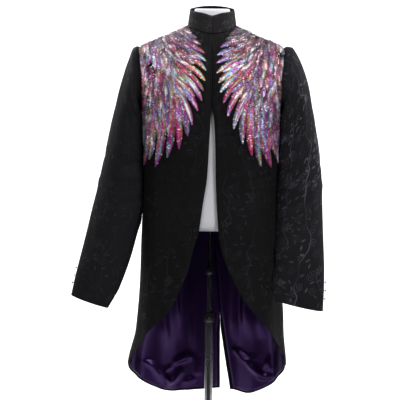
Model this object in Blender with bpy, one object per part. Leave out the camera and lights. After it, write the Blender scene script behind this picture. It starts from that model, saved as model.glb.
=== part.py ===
"""Cutaway tailcoat with a stand collar and two sequinned wings, on a limbless dress form and its stand.

Metres, +Z up. The coat faces -Y, so the wearer's right side is at -X. The origin is the centre of
the stand's foot, on the floor.
"""

import math
from collections import namedtuple

import bmesh
import bpy
import numpy as np
from mathutils import Matrix, Vector

# Cloth, in metres
GAP = 0.0003
CLOTH = 0.0016
SLEEVE_CLOTH = 0.0015
COLLAR_CLOTH = 0.0024
LINING_CLOTH = 0.0010
WING_CLOTH = 0.0015
FACING = 0.020
HALF_GAP = GAP / 2

# Coat
UNDERARM = 1.220
SHOULDER = 1.398
ARMHOLE_HALF_DEPTH = 0.0605
FRONT_COLUMNS = 8
BACK_COLUMNS = 8
ARMHOLE_STEPS = 10
COLLAR_RISE = 0.043
COLLAR_LEAN = 0.006
COLLAR_STEPS = 3
UPPER_COLUMNS = 11
UNDER_COLUMNS = 5
BUTTON_RADIUS = 0.0055
BUTTON_THICKNESS = 0.0030
BUTTON_COUNT = 3
BUTTON_SIDES = 8
SHANK_RADIUS = 0.0012
SHANK_HEIGHT = 0.0018
# Along the sleeve, in its rings: the last button's place up from the hem, and the buttons' pitch
BUTTON_FROM_HEM = 0.62
BUTTON_PITCH = 0.40
BUTTON_ANGLE = 2.0
# The cuff's lowest corner, as a share of the way across it from its inner end
CUFF_CORNER = 0.23

# Dress form and stand
FORM_BOTTOM = 0.925
FORM_NECK_TOP = 1.500
FORM_STEPS = 5
FORM_LEVELS = (1.220, 1.265, 1.310, 1.350, 1.382, 1.398, 1.414, 1.431, 1.447, 1.457)
# The form carries the coat at the shoulders and stands free of it below
FORM_CARRIED = 0.0006
FORM_CARRIED_FULL = 0.0020
FORM_FREE = 0.0080
# Rings of the form's neck: their share of the neckline, how level they are, and their rise
NeckRing = namedtuple("NeckRing", "share level rise")
NECK_RINGS = (
    NeckRing(0.86, 0.0, -0.003),
    NeckRing(0.80, 0.5, 0.012),
    NeckRing(0.79, 1.0, 0.030),
    NeckRing(0.72, 1.0, 0.040),
)
FLANGE_RADIUS = 0.045
FLANGE_THICKNESS = 0.008
ROD_RADIUS = 0.0050
ROD_BOTTOM = 0.530
MID_RADIUS = 0.0075
MID_BOTTOM = 0.400
MID_TOP = 0.790
OUTER_RADIUS = 0.0115
OUTER_TOP = 0.655
TUBE_CLEARANCE = 0.0003
UPPER_KNOB_HEIGHT = 0.797
LOWER_KNOB_HEIGHT = 0.664
CLAMP_WALL = 0.0027
CLAMP_LENGTH = 0.026
KNOB_RADIUS = 0.0075
KNOB_STEM = 0.005
KNOB_STEM_RADIUS = 0.0028
HOLE_RADIUS = 0.0020
HOLE_PITCH = 0.0104
HOLE_COUNT = 7
HOLE_CUTTER = 0.06
FOOT_RADIUS = 0.165
FOOT_THICKNESS = 0.008
HUB_RADIUS = 0.026
HUB_HEIGHT = 0.030
ROUND_SIDES = 20

# One ring of the coat's outside: heights at the side, front and back, then its half width, its
# depths in front and behind, and how square it is (2 is an ellipse).
Ring = namedtuple("Ring", "name side front_height back_height half_width front back square")
RINGS = (
    Ring("tail hem", 0.395, 0.395, 0.395, 0.2175, 0.130, 0.155, 2.4),
    Ring("tail", 0.540, 0.540, 0.540, 0.2140, 0.132, 0.152, 2.4),
    Ring("flare", 0.640, 0.640, 0.640, 0.2000, 0.134, 0.148, 2.4),
    Ring("hip", 0.760, 0.760, 0.760, 0.1900, 0.136, 0.142, 2.4),
    Ring("seat", 0.900, 0.900, 0.900, 0.1855, 0.134, 0.134, 2.4),
    Ring("waist", 1.030, 1.030, 1.030, 0.1805, 0.124, 0.113, 2.4),
    Ring("chest", 1.150, 1.142, 1.145, 0.1825, 0.130, 0.118, 2.6),
    Ring("underarm", UNDERARM, 1.200, 1.210, 0.1840, 0.131, 0.121, 2.8),
    Ring("blade", 1.310, 1.265, 1.285, 0.1870, 0.126, 0.123, 3.0),
    Ring("shoulder", SHOULDER, 1.325, 1.350, 0.1880, 0.118, 0.116, 3.0),
    Ring("mid shoulder", 1.4250, 1.388, 1.420, 0.1280, 0.092, 0.094, 2.6),
    Ring("collar root", 1.4470, 1.425, 1.452, 0.0820, 0.072, 0.068, 2.3),
    Ring("neckline", 1.4570, 1.4375, 1.464, 0.0645, 0.062, 0.056, 2.2),
)

# How far each front's free edge stands from the centre line, at its height
FrontEdge = namedtuple("FrontEdge", "height right left")
FRONT_EDGES = (
    FrontEdge(0.536, 0.2115, 0.2125),
    FrontEdge(0.556, 0.2085, 0.2095),
    FrontEdge(0.587, 0.1950, 0.1990),
    FrontEdge(0.630, 0.1730, 0.1720),
    FrontEdge(0.677, 0.1340, 0.1395),
    FrontEdge(0.714, 0.1020, 0.1100),
    FrontEdge(0.775, 0.0755, 0.0710),
    FrontEdge(0.816, 0.0585, 0.0530),
    FrontEdge(0.880, 0.0425, 0.0290),
    FrontEdge(0.928, 0.0290, 0.0220),
    FrontEdge(1.000, 0.0190, 0.0165),
    FrontEdge(1.070, 0.0090, 0.0135),
    FrontEdge(1.178, 0.0040, 0.0110),
    FrontEdge(1.255, 0.0010, 0.0065),
    FrontEdge(1.302, HALF_GAP, HALF_GAP),
    FrontEdge(1.460, HALF_GAP, HALF_GAP),
)

# The centre back seam swings towards +X below the waist and opens as a vent
BackEdge = namedtuple("BackEdge", "height right left")
BACK_EDGES = (
    BackEdge(0.390, 0.0340, 0.0640),
    BackEdge(0.420, 0.0340, 0.0600),
    BackEdge(0.500, 0.0330, 0.0470),
    BackEdge(0.560, 0.0325, 0.0380),
    BackEdge(0.600, 0.0320, 0.0325),
    BackEdge(0.640, 0.0310, 0.0310),
    BackEdge(0.760, 0.0210, 0.0210),
    BackEdge(0.900, 0.0060, 0.0060),
    BackEdge(1.030, 0.0000, 0.0000),
    BackEdge(1.470, 0.0000, 0.0000),
)

# The tails' hem, by the turn in degrees from the side seam to the centre back
HemPoint = namedtuple("HemPoint", "turn height")
HEM = (
    HemPoint(0, 0.540),
    HemPoint(15, 0.492),
    HemPoint(30, 0.464),
    HemPoint(45, 0.432),
    HemPoint(58, 0.412),
    HemPoint(70, 0.402),
    HemPoint(84, 0.408),
    HemPoint(100, 0.414),
)

# Soft flutes that open downwards: where, how broad and how deep, outwards when positive
Flute = namedtuple("Flute", "turn breadth depth top")
BACK_FLUTES = (
    Flute(20, 8, -0.006, 0.86),
    Flute(38, 8, 0.008, 0.92),
    Flute(56, 7, -0.009, 0.90),
    Flute(72, 7, 0.007, 0.88),
    Flute(86, 5, -0.004, 0.80),
)
FRONT_FLUTES = (
    Flute(24, 9, -0.004, 0.88),
    Flute(44, 10, 0.005, 0.94),
)
FLUTE_FULL = 0.46

FRONT_LEVELS = (
    0.536, 0.560, 0.590, 0.625, 0.660, 0.700, 0.740, 0.780,
    0.830, 0.885, 0.945, 1.005, 1.065, 1.120, 1.172,
)
TAIL_TOP = 0.625
TAIL_STEPS = 4
SHOULDER_LEVELS = (1.398, 1.414, 1.431, 1.447, 1.457)
LINING_TOP = 0.945

# Sleeves, ring by ring from the armhole down: the ring's outer and inner ends, seen from the
# front, then its middle and half depth along Y, and how far the hem dips at its corner
SleeveRing = namedtuple("SleeveRing", "outer_x outer_z inner_x inner_z middle_y half_depth dip")
RIGHT_SLEEVE = (
    SleeveRing(0.1980, 1.4010, 0.1885, 1.2130, 0.000, 0.0630, 0.0),
    SleeveRing(0.2085, 1.3955, 0.1870, 1.2050, 0.000, 0.0650, 0.0),
    SleeveRing(0.2215, 1.3560, 0.1865, 1.1900, 0.000, 0.0670, 0.0),
    SleeveRing(0.2370, 1.3070, 0.1863, 1.1700, 0.000, 0.0680, 0.0),
    SleeveRing(0.2510, 1.2580, 0.1860, 1.1450, 0.000, 0.0680, 0.0),
    SleeveRing(0.2640, 1.2100, 0.1855, 1.1150, 0.000, 0.0670, 0.0),
    SleeveRing(0.2765, 1.1520, 0.1850, 1.0750, 0.000, 0.0650, 0.0),
    SleeveRing(0.2890, 1.0930, 0.1848, 1.0300, -0.002, 0.0610, 0.0),
    SleeveRing(0.3025, 1.0280, 0.1850, 0.9850, -0.006, 0.0560, 0.0),
    SleeveRing(0.3180, 0.9670, 0.1872, 0.9400, -0.014, 0.0500, 0.0),
    SleeveRing(0.3335, 0.9000, 0.1990, 0.8850, -0.024, 0.0430, 0.0),
    SleeveRing(0.3490, 0.8380, 0.2130, 0.8340, -0.034, 0.0370, 0.004),
    SleeveRing(0.3615, 0.7870, 0.2260, 0.7950, -0.042, 0.0320, 0.016),
    SleeveRing(0.3730, 0.7350, 0.2420, 0.7540, -0.048, 0.0280, 0.046),
)
LEFT_SLEEVE = (
    SleeveRing(0.1980, 1.4040, 0.1885, 1.2130, 0.000, 0.0630, 0.0),
    SleeveRing(0.2115, 1.4020, 0.1870, 1.2050, 0.000, 0.0650, 0.0),
    SleeveRing(0.2310, 1.3740, 0.1865, 1.1900, 0.000, 0.0670, 0.0),
    SleeveRing(0.2480, 1.3350, 0.1863, 1.1700, 0.000, 0.0680, 0.0),
    SleeveRing(0.2610, 1.2940, 0.1860, 1.1450, 0.000, 0.0680, 0.0),
    SleeveRing(0.2705, 1.2480, 0.1855, 1.1150, 0.000, 0.0670, 0.0),
    SleeveRing(0.2790, 1.1950, 0.1850, 1.0750, -0.002, 0.0650, 0.0),
    SleeveRing(0.2895, 1.1350, 0.1848, 1.0350, -0.007, 0.0610, 0.0),
    SleeveRing(0.2965, 1.0750, 0.1850, 0.9950, -0.017, 0.0560, 0.0),
    SleeveRing(0.2990, 1.0120, 0.1870, 0.9500, -0.031, 0.0500, 0.0),
    SleeveRing(0.3010, 0.9450, 0.1875, 0.9050, -0.050, 0.0440, 0.0),
    SleeveRing(0.3030, 0.8800, 0.1830, 0.8620, -0.072, 0.0370, 0.0),
    SleeveRing(0.3050, 0.8200, 0.1740, 0.8100, -0.090, 0.0310, 0.0),
    SleeveRing(0.3045, 0.7650, 0.1665, 0.7750, -0.100, 0.0270, 0.0),
    SleeveRing(0.3026, 0.7110, 0.1625, 0.7440, -0.105, 0.0250, 0.0),
)
# Seams of the two-piece sleeve: the front seam stays inside, the back seam comes round to the
# outer edge at the cuff. Degrees round the ring: 0 outer, 90 front, 180 inner, 270 back.
FRONT_SEAM_TOP, FRONT_SEAM_CUFF = 150.0, 178.0
BACK_SEAM_TOP, BACK_SEAM_CUFF = 262.0, 346.0
# The upper sleeve's cloth is one piece. The right one's solid is in three lengths that meet at two
# rings, so that the collision pieces can follow its bend.
SleevePart = namedtuple("SleevePart", "name first last")
UPPER_PARTS = {
    "right": (SleevePart("_top", 0, 7), SleevePart("_elbow", 7, 10), SleevePart("_forearm", 10, 14)),
    "left": (SleevePart("", 0, 15),),
}
# Each length's end stays this far from the ring, in rings
PART_GAP = 0.004

# A wing's feather tips lie on this line, from the neck round to the armhole
WingEdge = namedtuple("WingEdge", "x z")
WING_EDGE = (
    WingEdge(0.068, 1.446),
    WingEdge(0.040, 1.408),
    WingEdge(0.018, 1.372),
    WingEdge(0.011, 1.330),
    WingEdge(0.014, 1.285),
    WingEdge(0.026, 1.240),
    WingEdge(0.046, 1.196),
    WingEdge(0.074, 1.152),
    WingEdge(0.108, 1.116),
    WingEdge(0.142, 1.094),
    WingEdge(0.170, 1.090),
)
WING_FEATHERS = 15
WING_SPACING = 1.2
WING_AIM_TOP, WING_AIM_BOTTOM = 148.0, 272.0
WING_SLOT_TOP, WING_SLOT_BOTTOM = 0.014, 0.066
# A feather's tip, by its length from the slot: where it starts to round, where it ends, and its widths
FEATHER_HALF = 0.41
FEATHER_SHOULDER = 0.40
FEATHER_TIP = 0.06
FEATHER_TIP_WIDTH = 0.35
WING_BOTTOM_LEVEL = 1.05
WING_CUTTER_FRONT = -0.30
WING_CUTTER_DEPTH = 0.305
# The wing's outer edge, up along the armhole and over the shoulder
WING_OUTER = (
    (0.1745, 1.150), (0.1745, 1.240), (0.1765, 1.310), (0.1795, 1.350), (0.1830, 1.380),
    (0.1850, 1.396), (0.1700, 1.440), (0.0850, 1.470),
)


def smooth(table, key, column, at):
    """The column's value at this key, on a curve through the table that never overshoots its rows."""
    keys = [getattr(row, key) for row in table]
    values = [getattr(row, column) for row in table]
    if at <= keys[0]:
        return values[0]
    if at >= keys[-1]:
        return values[-1]
    spans = [b - a for a, b in zip(keys, keys[1:])]
    slopes = [(b - a) / span for a, b, span in zip(values, values[1:], spans)]
    tangents = [slopes[0]]
    for before, after, wide, next_wide in zip(slopes, slopes[1:], spans, spans[1:]):
        if before * after <= 0:
            tangents.append(0.0)
            continue
        first, second = 2 * next_wide + wide, next_wide + 2 * wide
        tangents.append((first + second) / (first / before + second / after))
    tangents.append(slopes[-1])
    i = max(k for k in range(len(spans)) if keys[k] <= at)
    s = (at - keys[i]) / spans[i]
    return (
        values[i] * (1 + 2 * s) * (1 - s) ** 2
        + tangents[i] * spans[i] * s * (1 - s) ** 2
        + values[i + 1] * s * s * (3 - 2 * s)
        + tangents[i + 1] * spans[i] * s * s * (s - 1)
    )


def smoothstep(at, start, end):
    s = min(max((at - start) / (end - start), 0.0), 1.0)
    return s * s * (3 - 2 * s)


def signed_power(value, power):
    return math.copysign(abs(value) ** power, value)


def armhole_reach(level):
    """How far the armhole's edge stands before or behind the side line, at this height."""
    middle, half = (UNDERARM + SHOULDER) / 2, (SHOULDER - UNDERARM) / 2
    inside = 1 - ((level - middle) / half) ** 2
    return ARMHOLE_HALF_DEPTH * math.sqrt(max(inside, 0.0))


class CoatSide:
    """One quarter of the coat's outside, and its points by level and by turn from the side seam."""

    def __init__(self, side, back):
        self.side = side
        self.back = back
        self.flutes = BACK_FLUTES if back else FRONT_FLUTES

    def ring(self, level):
        half_width = smooth(RINGS, "side", "half_width", level)
        depth = smooth(RINGS, "side", "back" if self.back else "front", level)
        square = smooth(RINGS, "side", "square", level)
        return half_width, depth, square

    def first_turn(self, level):
        """The turn at the armhole's edge, or at the side seam below it and the shoulder seam above."""
        _, depth, square = self.ring(level)
        reach = armhole_reach(level) if UNDERARM < level < SHOULDER else 0.0
        return math.asin((reach / depth) ** (square / 2))

    def turn_at(self, level, reach):
        """The turn at which the ring stands this far from the centre line, on its own side when positive."""
        half_width, _, square = self.ring(level)
        return math.acos(signed_power(min(reach / half_width, 1.0), square / 2))

    def flute(self, level, turn):
        push = 0.0
        for flute in self.flutes:
            off = (math.degrees(turn) - flute.turn) / flute.breadth
            push += flute.depth * math.exp(-off * off) * smoothstep(level, flute.top, FLUTE_FULL)
        return push

    def point(self, level, turn):
        half_width, depth, square = self.ring(level)
        ahead = 1 if self.back else -1
        x = half_width * signed_power(math.cos(turn), 2 / square)
        y = depth * abs(math.sin(turn)) ** (2 / square)
        across = Vector((signed_power(x / half_width, square - 1) / half_width,
                         (y / depth) ** (square - 1) / depth, 0)).normalized()
        push = self.flute(level, turn)
        end = smooth(RINGS, "side", "back_height" if self.back else "front_height", level)
        start = math.sin(self.first_turn(level)) ** 2
        share = (math.sin(turn) ** 2 - start) / (1 - start)
        z = level + (end - level) * share
        return Vector((self.side * (x + across.x * push), ahead * (y + across.y * push), z))

    def normal(self, level, turn):
        """Outward, square to the surface; it has no Y part at the side seam, where the quarters meet."""
        half_width, depth, square = self.ring(level)
        x = half_width * signed_power(math.cos(turn), 2 / square)
        y = depth * abs(math.sin(turn)) ** (2 / square)
        out = Vector((self.side * signed_power(x / half_width, square - 1) / half_width,
                      (1 if self.back else -1) * (y / depth) ** (square - 1) / depth, 0)).normalized()
        step = 0.002
        low, high = max(level - step, RINGS[0].side), min(level + step, RINGS[-1].side)
        rise = self.point(high, turn) - self.point(low, turn)
        nudge = 0.01
        along = self.point(level, turn + nudge) - self.point(level, max(turn - nudge, 0.0))
        along = along - out * along.dot(out)
        slope = rise - along.normalized() * rise.dot(along.normalized())
        normal = out - slope.normalized() * out.dot(slope.normalized())
        if math.sin(turn) < 1e-6:
            normal.y = 0
        return normal.normalized()


def hem_height(turn):
    return smooth(HEM, "turn", "height", math.degrees(turn))


def grid_of(side, levels_and_turns, seam_shift):
    """Outer points and normals, a row for each level; the first column moves off the seam's plane."""
    points, normals = [], []
    for row in levels_and_turns:
        points.append([side.point(level, turn) for level, turn in row])
        normals.append([side.normal(level, turn) for level, turn in row])
        if abs(row[0][1]) < 1e-9:
            points[-1][0] = points[-1][0] + Vector((0, seam_shift, 0))
    return np.array(points, float), np.array(normals, float)


def levels_above(last):
    """The levels round the armhole and over the shoulder, above this one."""
    middle, half = (UNDERARM + SHOULDER) / 2, (SHOULDER - UNDERARM) / 2
    rise = [middle - half * math.cos(math.pi * k / ARMHOLE_STEPS) for k in range(ARMHOLE_STEPS)]
    return [level for level in (*rise, *SHOULDER_LEVELS) if level > last]


def front_grid(hand):
    """The front panel's outer points and normals; hand is 'right' or 'left', the wearer's."""
    side = CoatSide(-1 if hand == "right" else 1, back=False)
    rows = []
    for level in (*FRONT_LEVELS, *levels_above(FRONT_LEVELS[-1])):
        first = side.first_turn(level)
        last = side.turn_at(level, smooth(FRONT_EDGES, "height", hand, level))
        steps = range(FRONT_COLUMNS + 1)
        rows.append([(level, first + (last - first) * j / FRONT_COLUMNS) for j in steps])
    return grid_of(side, rows, -HALF_GAP)


def back_grid(hand):
    """The back panel's grid; its hem and its centre edge each have a facing's width of their own."""
    side = CoatSide(-1 if hand == "right" else 1, back=True)

    def reach(level, inset):
        line = smooth(BACK_EDGES, "height", hand, level)
        return (-line if hand == "right" else line) + HALF_GAP + inset

    def turns(level):
        first = side.first_turn(level)
        last = side.turn_at(level, reach(level, 0.0))
        facing = side.turn_at(level, reach(level, FACING))
        steps = BACK_COLUMNS - 1
        return [first + (facing - first) * j / steps for j in range(BACK_COLUMNS)] + [last]

    rows = []
    top = turns(TAIL_TOP)
    for k in range(TAIL_STEPS + 1):
        row = []
        for turn in top:
            hem = hem_height(turn)
            facing = hem + FACING
            level = hem if k == 0 else facing + (TAIL_TOP - facing) * (k - 1) / TAIL_STEPS
            row.append(level)
        angles = [turns(level)[j] for j, level in enumerate(row)]
        rows.append(list(zip(row, angles)))
    for level in [level for level in FRONT_LEVELS if level >= TAIL_TOP]:
        rows.append([(level, turn) for turn in turns(level)])
    for level in levels_above(FRONT_LEVELS[-1]):
        rows.append([(level, turn) for turn in turns(level)])
    return grid_of(side, rows, HALF_GAP)


class Sleeve:
    """A two-piece sleeve: its surface by the distance down the rings and the angle round them."""

    def __init__(self, hand):
        self.side = -1 if hand == "right" else 1
        self.rings = RIGHT_SLEEVE if hand == "right" else LEFT_SLEEVE
        Row = namedtuple("Row", ("place", *SleeveRing._fields))
        self.table = [Row(k + 1, *ring) for k, ring in enumerate(self.rings)]
        self.last = len(self.rings)

    def armhole(self, angle):
        """The sleeve's first ring: the coat's armhole edge, moved out by the seam's gap."""
        back = math.sin(angle) < 0
        middle, half = (UNDERARM + SHOULDER) / 2, (SHOULDER - UNDERARM) / 2
        level = middle + half * math.cos(angle)
        side = CoatSide(self.side, back)
        point = side.point(level, side.first_turn(level))
        return point + Vector((self.side * GAP, 0, 0))

    def point(self, place, angle):
        if place <= 0:
            return self.armhole(angle)
        if place < 1:
            return self.armhole(angle).lerp(self.point(1, angle), place)
        value = {name: smooth(self.table, "place", name, place) for name in SleeveRing._fields}
        share = (1 + math.cos(angle)) / 2
        x = value["inner_x"] + (value["outer_x"] - value["inner_x"]) * share
        z = value["inner_z"] + (value["outer_z"] - value["inner_z"]) * share
        y = value["middle_y"] - value["half_depth"] * math.sin(angle)
        dip = share / CUFF_CORNER if share < CUFF_CORNER else (1 - share) / (1 - CUFF_CORNER)
        return Vector((self.side * x, y, z - value["dip"] * dip))

    def normal(self, place, angle):
        step, nudge = 0.05, 0.02
        low, high = max(place - step, 0.0), min(place + step, float(self.last))
        down = self.point(high, angle) - self.point(low, angle)
        round_ring = self.point(place, angle + nudge) - self.point(place, angle - nudge)
        normal = down.cross(round_ring).normalized()
        middle = (self.point(place, 0.0) + self.point(place, math.pi)) / 2
        return normal if normal.dot(self.point(place, angle) - middle) > 0 else -normal

    def grids(self, start, end, columns, part=None):
        """Outer and inner points between two seams, given as (top, cuff) angles in degrees."""
        top, bottom = (part.first, part.last) if part else (0, self.last)
        first_place = top + PART_GAP if top > 0 else 0
        last_place = bottom - PART_GAP if bottom < self.last else bottom
        outer, inner = [], []
        for place in (first_place, *range(top + 1, bottom), last_place):
            share = smoothstep(place, 1, self.last)
            first = math.radians(start[0] + (start[1] - start[0]) * share)
            last = math.radians(end[0] + (end[1] - end[0]) * share)
            radius = (self.point(place, first) - self.point(place, first + math.pi)).length / 2
            first, last = first + HALF_GAP / radius, last - HALF_GAP / radius
            row, back_row = [], []
            for j in range(columns + 1):
                angle = first + (last - first) * j / columns
                point = self.point(place, angle)
                inward = -self.normal(place, angle)
                if place == 0:
                    inward = Vector((0, -point.y, (UNDERARM + SHOULDER) / 2 - point.z)).normalized()
                row.append(point)
                back_row.append(point + inward * SLEEVE_CLOTH)
            outer.append(row)
            inner.append(back_row)
        return np.array(outer, float), np.array(inner, float)


def plain_material(name, colour, roughness, metallic=0.0):
    material = bpy.data.materials.new(name)
    material.use_nodes = True
    shader = material.node_tree.nodes["Principled BSDF"]
    shader.inputs["Base Color"].default_value = (*colour, 1)
    shader.inputs["Roughness"].default_value = roughness
    shader.inputs["Metallic"].default_value = metallic
    material.diffuse_color = (*colour, 1)
    return material


def add_object(name, bm, material):
    """A finished, closed mesh with its faces turned outwards, as an object of this name."""
    bmesh.ops.recalc_face_normals(bm, faces=bm.faces)
    if bm.calc_volume(signed=True) < 0:
        bmesh.ops.reverse_faces(bm, faces=bm.faces)
    mesh = bpy.data.meshes.new(name)
    bm.to_mesh(mesh)
    bm.free()
    mesh.shade_smooth()
    mesh.set_sharp_from_angle(angle=math.radians(40))
    mesh.materials.append(material)
    obj = bpy.data.objects.new(name, mesh)
    bpy.context.scene.collection.objects.link(obj)
    return obj


def cloth_wall(name, outer, inner, material):
    """A closed wall between two grids of points: a sheet, extruded, with its copy set on the inner points."""
    rows, columns = outer.shape[:2]
    bm = bmesh.new()
    place = bm.verts.layers.int.new("place")
    bmesh.ops.create_grid(bm, x_segments=columns - 1, y_segments=rows - 1, size=0.5)
    for vertex in bm.verts:
        j = round((vertex.co.x + 0.5) * (columns - 1))
        i = round((vertex.co.y + 0.5) * (rows - 1))
        vertex[place] = i * columns + j
    bmesh.ops.triangulate(bm, faces=bm.faces, quad_method="FIXED")
    made = bmesh.ops.extrude_face_region(bm, geom=bm.faces[:], use_keep_orig=True)
    copies = {item for item in made["geom"] if isinstance(item, bmesh.types.BMVert)}
    for vertex in bm.verts:
        i, j = divmod(vertex[place], columns)
        vertex.co = inner[i, j] if vertex in copies else outer[i, j]
    bmesh.ops.triangulate(bm, faces=bm.faces, quad_method="FIXED")
    return add_object(name, bm, material)


def offset_wall(name, points, normals, near, thickness, material):
    """A wall this thick whose outer face lies this far inside the points."""
    outer = points - normals * near
    return cloth_wall(name, outer, outer - normals * thickness, material)


def wing_outline():
    """Points (x, z) round a wing on the +X side: feather tips down the inner edge, a straight outer one."""
    lengths = [0.0]
    for a, b in zip(WING_EDGE, WING_EDGE[1:]):
        lengths.append(lengths[-1] + math.hypot(b.x - a.x, b.z - a.z))
    Along = namedtuple("Along", "run x z")
    table = [Along(run, edge.x, edge.z) for run, edge in zip(lengths, WING_EDGE)]

    def spot(step):
        run = lengths[-1] * max(step / WING_FEATHERS, 0.0) ** WING_SPACING
        return Vector((smooth(table, "run", "x", run), smooth(table, "run", "z", run)))

    def aim(share):
        lean = math.radians(WING_AIM_TOP + (WING_AIM_BOTTOM - WING_AIM_TOP) * share)
        return Vector((math.cos(lean), math.sin(lean)))

    def slot(share):
        return WING_SLOT_TOP + (WING_SLOT_BOTTOM - WING_SLOT_TOP) * share ** 1.5

    outline = []
    for k in range(WING_FEATHERS):
        share = (k + 0.5) / WING_FEATHERS
        tip, ahead, length = spot(k + 0.5), aim(share), slot(share)
        across = Vector((-ahead.y, ahead.x))
        half = abs((spot(k + 1) - spot(k)).dot(across)) * FEATHER_HALF
        shoulder, end = tip - ahead * length * FEATHER_SHOULDER, tip - ahead * length * FEATHER_TIP
        if k > 0:
            before = k / WING_FEATHERS
            outline.append(spot(k) - aim(before) * slot(before))
        outline.append(shoulder - across * half)
        outline.append(end - across * half * FEATHER_TIP_WIDTH)
        outline.append(end + across * half * FEATHER_TIP_WIDTH)
        outline.append(shoulder + across * half)
    for x, z in WING_OUTER:
        outline.append(Vector((x, z)))
    return outline


def wing(name, hand, front, material):
    """A thick applique on the front panel: the panel's points moved out, cut to the wing's outline."""
    points, normals = front
    above = [i for i in range(points.shape[0]) if points[i, 0, 2] > WING_BOTTOM_LEVEL]
    rows = slice(above[0], points.shape[0])
    raised = points[rows] + normals[rows] * (GAP + WING_CLOTH)
    sheet = cloth_wall(name, raised, points[rows] + normals[rows] * GAP, material)
    side = -1 if hand == "right" else 1
    bm = bmesh.new()
    near = [bm.verts.new((side * spot.x, WING_CUTTER_FRONT, spot.y)) for spot in wing_outline()]
    face = bm.faces.new(near)
    made = bmesh.ops.extrude_face_region(bm, geom=[face], use_keep_orig=True)
    deep = [item for item in made["geom"] if isinstance(item, bmesh.types.BMVert)]
    bmesh.ops.translate(bm, verts=deep, vec=(0, WING_CUTTER_DEPTH, 0))
    cutter = add_object(name + "_outline", bm, material)
    cutter.hide_render = True
    cutter.display_type = "WIRE"
    cut = sheet.modifiers.new("Feathers", "BOOLEAN")
    cut.operation = "INTERSECT"
    cut.solver = "EXACT"
    cut.object = cutter
    return sheet


def collar(material):
    """The stand collar, on the neckline's points from one front edge round the back to the other."""
    path = []
    neckline = RINGS[-1].side
    quarters = ((-1, False, True), (-1, True, False), (1, True, True), (1, False, False))
    for side_sign, back, backwards in quarters:
        side = CoatSide(side_sign, back)
        steps = BACK_COLUMNS if back else FRONT_COLUMNS
        last = side.turn_at(neckline, HALF_GAP)
        turns = [last * j / steps for j in range(steps + 1)]
        quarter = [side.point(neckline, turn) for turn in (turns[::-1] if backwards else turns)]
        path.extend(quarter if not path else quarter[1:])
    outer, inner = [], []
    for k in range(COLLAR_STEPS + 1):
        share = k / COLLAR_STEPS
        row, inner_row = [], []
        for spot in path:
            out = Vector((spot.x, spot.y * 1.1, 0)).normalized()
            lean = COLLAR_LEAN * share
            height = GAP + COLLAR_RISE * share
            point = Vector((spot.x - out.x * lean, spot.y - out.y * lean, spot.z + height))
            if abs(spot.x) < 0.001 and spot.y < 0:
                point.x, out = spot.x, Vector((0, -1, 0))
            row.append(point)
            inner_row.append(point - out * COLLAR_CLOTH)
        outer.append(row)
        inner.append(inner_row)
    return cloth_wall("collar_stand", np.array(outer, float), np.array(inner, float), material)


def add_button(name, sleeve, place, angle, material):
    """A small domed shank button that stands on the sleeve's outer edge."""
    spot, out = sleeve.point(place, angle), sleeve.normal(place, angle)
    bm = bmesh.new()
    profile = (
        (SHANK_RADIUS, 0.0),
        (SHANK_RADIUS, SHANK_HEIGHT - 0.0002),
        (BUTTON_RADIUS * 0.85, SHANK_HEIGHT),
        (BUTTON_RADIUS, SHANK_HEIGHT + BUTTON_THICKNESS / 3),
        (BUTTON_RADIUS * 0.78, SHANK_HEIGHT + BUTTON_THICKNESS * 0.85),
        (BUTTON_RADIUS * 0.35, SHANK_HEIGHT + BUTTON_THICKNESS),
    )
    angles = [math.tau * k / BUTTON_SIDES for k in range(BUTTON_SIDES)]
    rings = []
    for radius, height in profile:
        rings.append([bm.verts.new((radius * math.cos(a), radius * math.sin(a), height)) for a in angles])
    edges = []
    for ring in rings:
        edges.append([bm.edges.new((a, b)) for a, b in zip(ring, ring[1:] + ring[:1])])
    for lower, upper in zip(edges, edges[1:]):
        bmesh.ops.bridge_loops(bm, edges=lower + upper)
    bm.faces.new(rings[0][::-1])
    bm.faces.new(rings[-1])
    turn = out.to_track_quat("Z", "Y").to_matrix().to_4x4()
    bmesh.ops.transform(bm, matrix=Matrix.Translation(spot + out * GAP) @ turn, verts=bm.verts)
    return add_object(name, bm, material)


def form_clearance(level, turn):
    """How far the form stays inside the coat: it carries it at the shoulders and is free below."""
    carried = CLOTH + FORM_CARRIED + FORM_CARRIED_FULL * math.sin(turn) ** 2
    return carried + (FORM_FREE - carried) * smoothstep(level, SHOULDER + 0.012, SHOULDER - 0.10)


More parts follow.
